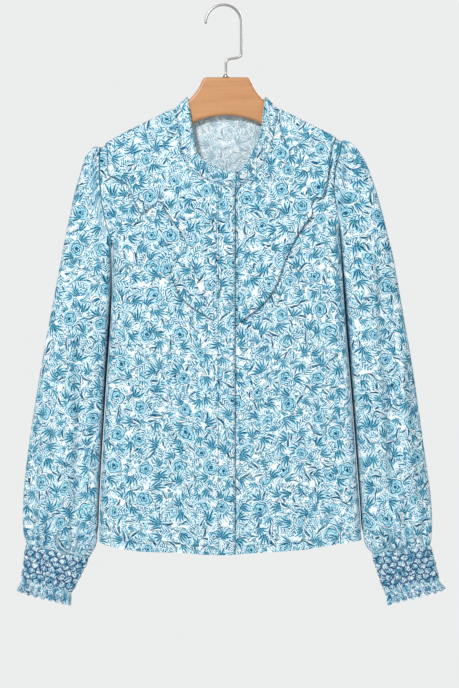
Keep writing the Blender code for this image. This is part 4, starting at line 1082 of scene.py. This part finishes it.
def stand_lines():
    """Seam and top edge of the collar stand, from its upper end round the back to its under end.

    Points of the seam that lie too near the one before, where two stretches meet, are left out.
    """
    lines = []
    for rows, facing, lap in ((NECK[RIGHT], FRONT, 0), (BACK_NECK, BACK, 0), (NECK[LEFT], FRONT, BAND_LAP)):
        rows = finer_rows(rows, STAND_COLUMNS)
        seam, normals = skin(rows["seam_x"], rows["seam_drop"], facing)
        top = joined(rows["top_x"], rows["top_y"], -rows["top_drop"])
        sink = sunk_by(lap, rows["seam_x"])[:, None]
        lines.append((seam - normals * sink, top + sink * (0, 1, 0)))
    lines[0] = [line[::-1] for line in lines[0]]
    seam, top = (np.concatenate(stretch) for stretch in zip(*lines))
    apart = np.append(True, np.linalg.norm(np.diff(seam, axis=0), axis=1) > STAND_STEP)
    return seam[apart], top[apart]


def collar(node):
    """The stand: straight across from the seam to the top edge, two layers thick."""
    seam, top = stand_lines()
    up = np.linspace(1, 0, STAND_ROWS)[:, None, None]
    outer = seam[None] * (1 - up) + top[None] * up
    normals = grid_normals(outer, STAND_MIDDLE)
    height = np.linalg.norm(outer - outer[-1:], axis=-1)
    off = (np.minimum(height, height[:1] - height) - BAND_STITCH) / STITCH_FINE
    run = lengths(seam)
    return cloth_wall(node, outer, outer - normals * BAND_WALL, joined(run, height), joined(run, off))


# ---- button and hook ----

def ring_faces(rows, sides):
    """Triangles of a wrapped grid, with a fan over each end round a middle point that follows the grid."""
    i, j = (index.ravel() for index in np.indices((rows - 1, sides)))
    k = (j + 1) % sides
    a, b, c, d = i * sides + j, i * sides + k, (i + 1) * sides + k, (i + 1) * sides + j
    j = np.arange(sides)
    k, last, middle = (j + 1) % sides, (rows - 1) * sides, np.full(sides, rows * sides)
    corners = (a, b, c), (a, c, d), (middle, k, j), (middle + 1, last + j, last + k)
    return np.concatenate([joined(*corner) for corner in corners])


def with_middles(grid):
    """Points of a wrapped grid, and after them the middle points of its first and last rows."""
    return np.concatenate([grid.reshape(-1, 3), grid[0].mean(axis=0)[None], grid[-1].mean(axis=0)[None]])


def tube(route, radii, sides):
    """Grid of a round wire: circles across a route of points that stays at one Y."""
    ahead = unit(np.gradient(route, axis=0))
    side = unit(np.cross(ahead, [0, 1, 0]))
    rise = np.cross(side, ahead)
    angles = even_angles(sides)[:, None]
    circle = side[:, None] * np.cos(angles) + rise[:, None] * np.sin(angles)
    return route[:, None] + circle * radii[:, None, None]


def button(name):
    """A small button at the place of its solid: a profile turned, and pressed in at each of its four holes by
    a bell with a flat middle."""
    well = np.linspace(WELL_RADIUS, WELL_MIDDLE, WELL_STEPS)
    radii = np.append(BUTTON_RIM["radius"], well)
    grid = turned(radii, np.append(BUTTON_RIM["height"], np.full(WELL_STEPS, WELL_HEIGHT)), BUTTON_SIDES)
    for x in (-HOLE_PLACE, HOLE_PLACE):
        for y in (-HOLE_PLACE, HOLE_PLACE):
            near = np.hypot(grid[-WELL_STEPS:, :, 0] - x, grid[-WELL_STEPS:, :, 1] - y)
            grid[-WELL_STEPS:, :, 2] -= HOLE_DEPTH * np.exp(-(near / HOLE_RADIUS)**4)
    grid[..., 2] -= BUTTON_SINK
    pearl = plain_material("pearl", bpy.context.scene.blouse_cloth.pearl, 0.28, mottle=0.08, size=5,
                           finish={"Coat Weight": 0.4})
    return add_mesh(name, on_stand(grid), ring_faces(len(radii), BUTTON_SIDES), pearl, sharp=40)


def on_stand(grid):
    """Points of a grid that is built round the button's middle, turned to the button's facing."""
    facing = unit(np.array(BUTTON_FACING))
    side = unit(np.cross(facing, [0, 0, 1]))
    axes = np.stack([side, np.cross(side, facing), facing])
    return (np.array(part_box("collar_button")) / MM).mean(axis=0) + with_middles(grid) @ axes


def button_thread(name):
    """Two bowed bars of thread between the button's holes, each half a wave of a sine."""
    t = np.linspace(0, 1, THREAD_STEPS)
    x, bow = HOLE_PLACE * (2 * t - 1), THREAD_FOOT + THREAD_BOW * np.sin(math.pi * t)
    radii = np.full_like(x, THREAD_RADIUS)
    bars = [on_stand(tube(joined(x, y, bow), radii, THREAD_SIDES)) for y in (-HOLE_PLACE, HOLE_PLACE)]
    faces = ring_faces(THREAD_STEPS, THREAD_SIDES)
    thread = plain_material("button_thread", bpy.context.scene.blouse_cloth.thread, 0.8, mottle=0.1)
    return add_mesh(name, np.concatenate(bars), np.concatenate([faces, faces + len(bars[0])]), thread)


def hook(name):
    """Wire of round section: up from its ferrule, through the stem's bends, round half a circle, and over
    its rounded tip."""
    hanger = bpy.context.scene.blouse_hanger
    radius = hanger.wire / MM / 2
    stem = finer_rows(HOOK_STEM, HOOK_STEM_STEPS)
    angles = np.linspace(0, math.pi, HOOK_BEND_STEPS)[1:]
    x = np.append(stem["x"], HOOK_CENTRE[0] + HOOK_RADIUS * np.cos(angles))
    drop = np.append(stem["drop"], HOOK_CENTRE[1] - HOOK_RADIUS * np.sin(angles))
    wire = joined(x, 0, -drop)
    cap = np.linspace(0, math.pi / 2, 7)[1:-1]
    tip = wire[-1] + unit(wire[-1] - wire[-2]) * radius * np.sin(cap)[:, None]
    rise = np.append(FERRULE["height"], FERRULE_WIRE) - HANGER_CROWN_DROP + SEAM
    route = np.concatenate([joined(HOOK_STEM["x"][0], 0, rise), wire, tip])
    radii = np.concatenate([FERRULE["radius"], np.full(len(wire) + 1, radius), radius * np.cos(cap)])
    nickel = plain_material("nickel", hanger.metal, 0.34, mottle=0.06, size=1.5, finish={"Metallic": 1.0})
    return add_mesh(name, with_middles(tube(route, radii, WIRE_SIDES)), ring_faces(len(route), WIRE_SIDES),
                    nickel, sharp=60)


# ---- flounces ----

def flounce(node, side):
    """A cape-like flounce: straight across from the neck seam, lifting off as a power of the way out."""
    rows = finer_rows(FLOUNCE[side], FLOUNCE_ROWS * (len(FLOUNCE[side]["lift"]) - 1) + 1)
    rows = {column: values[:, None] for column, values in rows.items()}
    out = 1 - (1 - np.linspace(0, 1, FLOUNCE_COLUMNS)[None, :])**FLOUNCE_DENSE
    x = rows["inner_x"] + (rows["edge_x"] - rows["inner_x"]) * out
    inner_fall = rows["inner_drop"] - shoulder_drop(rows["inner_x"])
    edge_fall = rows["edge_drop"] - shoulder_drop(rows["edge_x"])
    fall = inner_fall + (edge_fall - inner_fall) * out
    drop = shoulder_drop(x) + fall
    points, normals = skin(x, drop, FRONT)
    turning = 1 - step_up(fall / (2 * TOP_ROUND))
    lift = np.maximum(rows["lift"] * FLOUNCE_HUG, FLOUNCE_LEAST) * out**FLOUNCE_CURL
    inner = points + normals * (SEAM + TURN_CLEARANCE * turning + lift)[..., None]
    width = np.hypot(rows["edge_x"] - rows["inner_x"], rows["edge_drop"] - rows["inner_drop"])
    run = lengths(joined(x[:, -1], drop[:, -1]))[:, None]
    # The dark line at the free edge is the rolled edge's stitches together with painted shade under the edge.
    off = (width * (1 - out) - ROLLED_STITCH_AND_SHADE) / EDGE_BROAD
    cos, sin = math.cos(side * FLOUNCE_TURN), math.sin(side * FLOUNCE_TURN)
    cut = joined(x * cos + drop * sin, x * sin - drop * cos)
    return cloth_wall(node, inner + normals * thickness(), inner, cut, joined(run, off))


# ---- sleeves and cuffs ----

def oval(outer_end, inner_end, half, angles, square):
    """Sections of a tube: between two ends by a power of the cosine, and front and back by the sine's."""
    cos, sin = power(np.cos(angles), square), power(np.sin(angles), square)
    middle, reach = (outer_end + inner_end) / 2, (outer_end - inner_end) / 2
    ring = middle[..., None, :] + reach[..., None, :] * cos[..., None]
    ring[..., 1] -= np.asarray(half)[..., None] * sin
    return ring


def armhole_ring(side):
    """The sleeve's first section, along the armhole seam in front and back again behind, and its normals."""
    x, drop, steps = armhole_points(side, SLEEVE_COLUMNS)
    ends = np.array([x[0], 0, -drop[0]]), np.array([x[-1], 0, -drop[-1]])
    tangent = unit(joined(np.gradient(x), -np.gradient(drop)))
    outward = side * ARMHOLE_SEAM * joined(-tangent[:, 1], 0, tangent[:, 0])
    halves = []
    for facing in (FRONT, BACK):
        points, normals = skin(x, drop, facing)
        points += outward
        points[[0, -1], 1] = 0
        normals[:, 0] *= 1 - 2 * step_up((steps - UNDERARM_START) / UNDERARM_SPAN)
        halves.append((points, normals))
    points, normals = (np.concatenate([front, back[-2:0:-1]]) for front, back in zip(*halves))
    return points, normals, ends


def evened(grid, *others):
    """A wrapped grid and others, with their columns moved to lie evenly round the first one's last row."""
    sides = grid.shape[1]
    rim = np.concatenate([grid[-1], grid[-1, :1]])
    places = np.interp(np.arange(sides) / sides, shares(rim), np.arange(sides + 1))
    low = np.minimum(places.astype(int), sides - 1)
    result = []
    for values in (grid, *others):
        part = (places - low).reshape(1, sides, *(1,) * (values.ndim - 2))
        result.append(values[:, low] * (1 - part) + values[:, (low + 1) % sides] * part)
    return result


def developed(grid, outer_column):
    """Flat cut of a sleeve: out from the line of its outer fold by the arc round each section.

    The front goes off in the section's own direction, and the back in that direction mirrored by the fold.
    """
    arc = summed(np.linalg.norm(np.diff(grid, axis=1, append=grid[:, :1]), axis=-1), axis=1)
    arc -= arc[:, outer_column, None]
    fold = grid[:, outer_column][:, [0, 2]]
    line = unit(np.gradient(fold, axis=0))
    inner = unit(grid[:, 0][:, [0, 2]] - fold)
    mirrored = 2 * np.sum(inner * line, axis=1, keepdims=True) * line - inner
    way = np.where((arc > 0)[..., None], inner[:, None], mirrored[:, None])
    return fold[:, None] + way * np.abs(arc)[..., None]


def sleeve_sections(side, shoulder_end, underarm_end):
    """The sleeve's table, begun at the armhole and carried smoothly over its rings.

    Gives the outer and inner ends of the sections, half of their depth, how much they keep of the armhole's
    shape, and their gap to the body.
    """
    rows = SLEEVE[side]
    gap = along(SLEEVE_GAP["drop"], SLEEVE_GAP["gap"], rows["inner_drop"])
    beside_body = side_x(side, rows["inner_drop"]) + side * gap
    inner_x = np.where(rows["inner_x"] == 0, beside_body, rows["inner_x"])
    level = np.zeros_like(gap)
    columns = (rows["outer_x"], level, -rows["outer_drop"], inner_x, level, -rows["inner_drop"],
               rows["half"], rows["keep"], gap)
    starts = (*shoulder_end, *underarm_end, ARMHOLE_HALF, 1, gap[0])
    count = SLEEVE_RINGS * len(gap) + 1
    smooth = np.array([finer(np.append(start, column), count) for start, column in zip(starts, columns)])
    return smooth[:3].T, smooth[3:6].T, *smooth[6:]


def sleeve_lift(side, grid, angles, inward, from_head):
    """How far a sleeve's cloth stands out: folds and ripples where it is flat, and gathers towards its ends.

    Above the cuff they are waves of the angle, and on them uneven roots of a sine's size, which are sharp
    between. At the head they are finer waves. All fade with the way from their seam.
    """
    x, drop = grid[..., 0], -grid[..., 2]
    depth = np.abs(grid[..., 1]) / np.abs(grid[..., 1]).max(axis=1, keepdims=True)
    face = step_up((depth - FLAT_SLEEVE) / (1 - FLAT_SLEEVE))
    lift = folds(x, drop, SLEEVE_FOLDS[side]) + SLEEVE_RIPPLE * ripples(x + RIPPLE_SHIFT, drop, side)
    from_cuff = drop[-1:] - drop
    near = step_up(1 - from_cuff / SLEEVE_GATHER_REACH)
    uneven = 1 + 0.5 * np.sin(5 * angles + side) * np.sin(2.3 * angles)
    sharp = np.abs(np.sin(FINE_GATHERS * angles + 0.8 * np.sin(3 * angles + side)))**FINE_GATHER_POWER
    lift += near * (SLEEVE_GATHER_LIFT * np.cos(SLEEVE_GATHERS * angles)
                    + FINE_GATHER_LIFT * uneven * (sharp - FINE_GATHER_MEAN) * near)
    lift *= face * (1 - (1 - SLEEVE_GATHER_END) * step_up(1 - from_cuff / SLEEVE_GATHER_SINK))
    near = step_up(1 - from_head / HEAD_GATHER_REACH) * step_up(from_head / HEAD_GATHER_START)
    gathered = step_up((2 * HEAD_GATHER_SHARE - 1 - inward) * HEAD_GATHER_EDGE)
    lift += HEAD_GATHER_LIFT * near * gathered * np.cos(2 * HEAD_GATHERS * angles + side)
    lift[0] = 0
    return lift


def sleeve(node, side):
    """A tube from the armhole to the cuff: flat ovals carried down it, the first one bowed to the armhole.

    Beside the body a bell over its depth leans its inner edge over the body's side, and its front there is
    painted dark as shade in the gap. Its folds and gathers stand out along its normals.
    """
    first, first_normals, ends = armhole_ring(side)
    sides = len(first)
    angles = even_angles(sides)
    outer, inner, half, keep, gap = sleeve_sections(side, *ends)
    bow = first - oval(*ends, ARMHOLE_HALF, angles, SLEEVE_SQUARE)
    grid = oval(outer, inner, half, angles, SLEEVE_SQUARE) + bow * keep[:, None, None]
    grid, first_normals, inward = evened(grid, first_normals[None], -np.cos(angles)[None])
    deep = grid[..., 1] / half[:, None] - LEAN_PLACE
    lean = np.exp(-(deep / LEAN_WIDTH)**2) * (inward > 0)
    beside = (1 - keep) * (1 - step_up((-inner[:, 2] - LEAN_END) / LEAN_FADE))
    grid[..., 0] -= side * lean * (beside * (LEAN + gap))[:, None]
    # Painted shade: the front of the lean, in the gap beside the body, is drawn dark.
    painted_tuck_shade = np.clip(TUCK_DARK * lean * beside[:, None], 0, 1) * step_up(-deep * TUCK_SHARP)

    centre = grid.mean(axis=1, keepdims=True)
    from_head = np.linalg.norm(grid - grid[:1], axis=-1)
    lift = sleeve_lift(side, grid, angles, inward[0], from_head)
    surface = grid + grid_normals(grid, centre, wrap=True) * lift[..., None]
    normals = grid_normals(surface, centre, wrap=True)
    normals[0] = first_normals[0]
    under = surface - normals * thickness()
    underarm_seam = np.linalg.norm(grid - grid[:, sides // 2, None], axis=-1)
    # The dark lines along the armhole and underarm seams are their stitches together with painted shade in
    # their creases.
    off = np.minimum(from_head, underarm_seam) / EDGE_BROAD
    rolled = (np.roll(part, sides // 2, axis=1) for part in (surface, under, off, painted_tuck_shade))
    surface, under, off, painted_tuck_shade = rolled
    seam = joined(np.arange(sides + 1) * COLUMN_RUN, np.append(off, off[:, :1], axis=1))
    return cloth_wall(node, surface, under, developed(surface, sides // 2), seam, groove=painted_tuck_shade, wrap=True)


def angles_round(reach, half, square, count):
    """Angles round an oval at which its points lie evenly apart."""
    angles = np.linspace(0, 2 * math.pi, 40 * count + 1)
    rim = joined(reach * power(np.cos(angles), square), half * power(np.sin(angles), square))
    return np.interp(np.arange(count) / count, shares(rim), angles)


def bubble_margin(column, row, pitch, side):
    """How much nearer each place lies to its own bubble's middle than to the next bubble's, in millimetres.

    Middles stand where column and row add up to an odd number, each moved by a chance that is the broken part
    of a large sine. Distances down count for more, which makes the bubbles round.
    """
    nearest, second = np.full(column.shape, np.inf), np.full(column.shape, np.inf)
    for down in (-1, 0, 1, 2):
        middle_row = np.floor(row) + down
        odd = (middle_row + 1) % 2
        for across in (-2, 0, 2, 4):
            middle = 2 * np.floor((column - odd) / 2) + odd + across
            waves = zip(CHANCE_WAVES, (middle % CUFF_SIDES, middle_row, side))
            seed = np.sin(sum(wave * place for wave, place in waves)) * CHANCE_SPREAD
            shift, sink = seed % 1 - 0.5, seed * SECOND_CHANCE % 1 - 0.5
            away = np.hypot((column - middle - BUBBLE_SHIFT * shift) * pitch,
                            (row - middle_row - BUBBLE_SHIFT * sink) * pitch * BUBBLE_SQUAT)
            second = np.minimum(second, np.maximum(nearest, away))
            nearest = np.minimum(nearest, away)
    return second - nearest


def cuff(node, side):
    """Smocked tube running on into a frill, both as heights along the normals of a plain tube.

    The smocking rises as a power inwards from each bubble's margin, so bubbles stand in a net of grooves.
    The frill is a wave round the tube that grows towards its edge, with a quicker wave on it.
    """
    rows = CUFF[side]
    ends = [(rows[end + "_x"][0], rows[end + "_drop"][0]) for end in ("outer", "inner")]
    sides = CUFF_SIDES * CUFF_COLUMNS
    angles = angles_round(math.dist(*ends) / 2, rows["half"][0], CUFF_SQUARE, sides)
    smock = np.linspace(0, 1, 2 * SMOCK_ROWS * CUFF_STEPS + 1)
    levels = np.concatenate([smock, 1 + np.arange(1, FRILL_RINGS + 1) / FRILL_RINGS])
    at = {column: np.interp(levels, [0, 1, 2], values) for column, values in rows.items()}
    outer_end, inner_end = (joined(at[end + "_x"], 0, -at[end + "_drop"]) for end in ("outer", "inner"))
    plain = oval(outer_end, inner_end, at["half"], angles, CUFF_SQUARE)
    normals = grid_normals(plain, plain.mean(axis=1, keepdims=True), wrap=True)

    run, down = lengths(np.vstack([plain[0], plain[:1, 0]])), lengths(plain.mean(axis=1))
    column, row = np.arange(sides)[None, :] / CUFF_COLUMNS, levels[:, None] * SMOCK_ROWS - 0.5
    inward = bubble_margin(*np.broadcast_arrays(column, row), run[-1] / CUFF_SIDES, side)
    from_top, from_foot = levels[:, None] * SMOCK_ROWS, (1 - levels[:, None]) * SMOCK_ROWS
    smocked = step_up(from_foot * SMOCK_FOOT_FADE) * step_up(from_top * SMOCK_TOP_FADE)
    lift = SMOCK_LIFT * np.clip(inward / BUBBLE_ROUND, 0, 1)**BUBBLE_POWER * smocked

    tail = np.clip(levels - 1, 0, 1)[:, None]
    ruffle = np.cos(math.pi * (column + 0.5 * np.sin(column * math.pi / 8 + side)))
    wave = FRILL_WAVE * tail**0.8 * ruffle * (1 + 0.35 * np.sin(column * math.pi / 4 + 2 * side))
    wave += FRILL_CRIMP * tail**2 * np.sin(column * math.pi * 1.5 + 4 * tail)
    hang = (tail**2 * FRILL_HANG * np.sin(math.pi * column + side))[..., None] * (0, 0, 1)
    outer = plain + normals * (lift + wave)[..., None] + hang
    inner = plain + normals * (wave - CUFF_WALL * thickness())[..., None] + hang
    # Groove: the smocking's dark thread with painted shade in its grooves, and painted shade in the frill's
    # hollows.
    groove = (1 - np.clip(inward / GROOVE_REACH, 0, 1)) * smocked
    groove += FRILL_SHADE * tail * (1.15 - tail) * (1 - ruffle)
    cut = joined(CUFF_FULL_WIDTH * run, -CUFF_FULL_DEPTH * down[:, None])
    return cloth_wall(node, outer, inner, cut, groove=groove, wrap=True, cloth=smocked_flower_cloth)


# ---- stage ----

def area_light(name, place, size, watts, tint):
    """A square lamp that faces the middle of the blouse."""
    light = bpy.data.lights.new(name, "AREA")
    light.shape, light.size, light.energy, light.color = "SQUARE", size, watts, tint
    lamp = bpy.data.objects.new(name, light)
    ahead = unit(np.array([PICTURE_MIDDLE[0], 0, PICTURE_MIDDLE[1]]) - place)
    lamp.location = place
    lamp.rotation_euler = (math.acos(-ahead[2]), 0, math.atan2(-ahead[0], ahead[1]))
    lamp.visible_camera = False
    bpy.context.scene.collection.objects.link(lamp)


def floor():
    """A round pale floor below the blouse: a profile that drops a little at its rim, turned."""
    grid = turned(FLOOR["radius"], FLOOR["height"] - FLOOR_DROP, FLOOR_SIDES) / MM
    pale = plain_material("pale_floor", bpy.context.scene.blouse_stage.backdrop, 0.7, mottle=0.01, size=400)
    add_mesh("floor", with_middles(grid), ring_faces(len(grid), FLOOR_SIDES), pale)


def pale_room(backdrop, strength):
    """Surroundings that look plain and pale to the camera, and light the blouse softly and more dimly."""
    world = bpy.data.worlds.new("pale_room")
    world.use_nodes = True
    tree = world.node_tree
    seen = tree.nodes["Background"]
    connect(tree, seen, {"Color": colour(backdrop)})
    room = add_node(tree, "ShaderNodeBackground", {"Color": (0.80, 0.86, 0.90, 1), "Strength": strength})
    direct = add_node(tree, "ShaderNodeLightPath").outputs["Is Camera Ray"]
    both = add_node(tree, "ShaderNodeMixShader", {0: direct, 1: room.outputs[0], 2: seen.outputs[0]})
    connect(tree, tree.nodes["World Output"], {0: both.outputs[0]})
    return world


# ---- operators and panel ----

def marked(piece, node):
    """A piece, after hiding the solid it stands for."""
    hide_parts(node)
    return piece


class Maker:
    """What all operators here share."""
    bl_options = {"REGISTER", "UNDO"}


class BLOUSE_OT_body(Maker, bpy.types.Operator):
    """Cut the two fronts and the back."""
    bl_idname = "blouse.body"
    bl_label = "Fronts and back"

    def execute(self, context):
        for side, edge_x in ((RIGHT, UPPER_EDGE_X), (LEFT, UNDER_EDGE_X)):
            node = "front_" + SIDE_NAMES[side]
            piece = marked(front(node, side, edge_x), node)
        piece = marked(back("back"), "back")
        return {"FINISHED"}


class BLOUSE_OT_placket(Maker, bpy.types.Operator):
    """Sew on the strip that hides the closing."""
    bl_idname = "blouse.placket"
    bl_label = "Placket"

    def execute(self, context):
        piece = marked(placket("placket"), "placket")
        return {"FINISHED"}


class BLOUSE_OT_collar(Maker, bpy.types.Operator):
    """Sew on the stand collar."""
    bl_idname = "blouse.collar"
    bl_label = "Stand collar"

    def execute(self, context):
        piece = marked(collar("collar_stand"), "collar_stand")
        return {"FINISHED"}


class BLOUSE_OT_button(Maker, bpy.types.Operator):
    """Sew the button on the stand."""
    bl_idname = "blouse.button"
    bl_label = "Button"

    def execute(self, context):
        marked(button("stand_button"), "collar_button")
        button_thread("stand_button_thread")
        return {"FINISHED"}


class BLOUSE_OT_flounces(Maker, bpy.types.Operator):
    """Sew on the two flounces over the chest."""
    bl_idname = "blouse.flounces"
    bl_label = "Flounces"

    def execute(self, context):
        for side, name in SIDE_NAMES.items():
            node = "flounce_" + name
            piece = marked(flounce(node, side), node)
        return {"FINISHED"}


class BLOUSE_OT_sleeves(Maker, bpy.types.Operator):
    """Set in the two sleeves."""
    bl_idname = "blouse.sleeves"
    bl_label = "Sleeves"

    def execute(self, context):
        for side, name in SIDE_NAMES.items():
            node = "sleeve_" + name
            piece = marked(sleeve(node, side), node)
        return {"FINISHED"}


class BLOUSE_OT_cuffs(Maker, bpy.types.Operator):
    """Smock and set on the two cuffs."""
    bl_idname = "blouse.cuffs"
    bl_label = "Cuffs"

    def execute(self, context):
        for side, name in SIDE_NAMES.items():
            node = "cuff_" + name
            piece = marked(cuff(node, side), node)
        return {"FINISHED"}


class BLOUSE_OT_hanger(Maker, bpy.types.Operator):
    """Finish the board and bend the hook."""
    bl_idname = "blouse.hanger"
    bl_label = "Hanger"

    def execute(self, context):
        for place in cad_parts["hanger_board"].material_slots:
            place.material = material(beech)
        marked(hook("hook"), "hanger_hook")
        return {"FINISHED"}


class BLOUSE_OT_stage(Maker, bpy.types.Operator):
    """Set up the floor, the lights and the camera."""
    bl_idname = "blouse.stage"
    bl_label = "Floor, light and camera"

    def execute(self, context):
        scene, stage = context.scene, context.scene.blouse_stage
        floor()
        scene.view_settings.view_transform = "Standard"
        scene.world = pale_room(stage.backdrop, stage.room)
        area_light("window", (-1.0, -2.7, 1.15), 0.5, stage.key, (1.0, 0.985, 0.96))
        area_light("wall_bounce", (2.2, -2.0, 0.1), 2.0, stage.fill, (0.93, 0.97, 1.0))
        area_light("behind", (1.3, 2.6, 0.9), 1.0, stage.back, (0.97, 0.985, 1.0))
        camera = bpy.data.cameras.new("camera")
        camera.sensor_fit, camera.sensor_height = "VERTICAL", SENSOR
        camera.lens = SENSOR * stage.distance / PICTURE_HEIGHT
        scene.camera = bpy.data.objects.new("camera", camera)
        scene.camera.location = (PICTURE_MIDDLE[0], -stage.distance, PICTURE_MIDDLE[1])
        scene.camera.rotation_euler = (math.pi / 2, 0, 0)
        scene.collection.objects.link(scene.camera)
        return {"FINISHED"}


SETTINGS = {"blouse_print": PrintSettings, "blouse_cloth": ClothSettings, "blouse_hanger": HangerSettings,
            "blouse_stage": StageSettings}
MAKERS = (BLOUSE_OT_body, BLOUSE_OT_placket, BLOUSE_OT_collar, BLOUSE_OT_button, BLOUSE_OT_flounces,
          BLOUSE_OT_sleeves, BLOUSE_OT_cuffs, BLOUSE_OT_hanger, BLOUSE_OT_stage)


class BLOUSE_PT_makers(bpy.types.Panel):
    """Lists the pieces and their settings."""
    bl_label = "Blouse on a hanger"
    bl_idname = "BLOUSE_PT_makers"
    bl_space_type = "VIEW_3D"
    bl_region_type = "UI"
    bl_category = "Blouse"

    def draw(self, context):
        for maker in MAKERS:
            self.layout.operator(maker.bl_idname)
        for label, group in SETTINGS.items():
            column = self.layout.column(align=True)
            for name in group.__annotations__:
                column.prop(getattr(context.scene, label), name)


def register():
    """Make the settings, the operators and the panel known."""
    for kind in (*SETTINGS.values(), *MAKERS, BLOUSE_PT_makers):
        bpy.utils.register_class(kind)
    for label, group in SETTINGS.items():
        setattr(bpy.types.Scene, label, bpy.props.PointerProperty(type=group))


def unregister():
    """Take them all away again."""
    for label in SETTINGS:
        delattr(bpy.types.Scene, label)
    for kind in (BLOUSE_PT_makers, *MAKERS[::-1], *SETTINGS.values()):
        bpy.utils.unregister_class(kind)


def main():
    """Register the settings and operators, and make every piece in order."""
    register()
    for maker in MAKERS:
        group, name = maker.bl_idname.split(".")
        getattr(getattr(bpy.ops, group), name)()


if __name__ == "__main__":
    main()
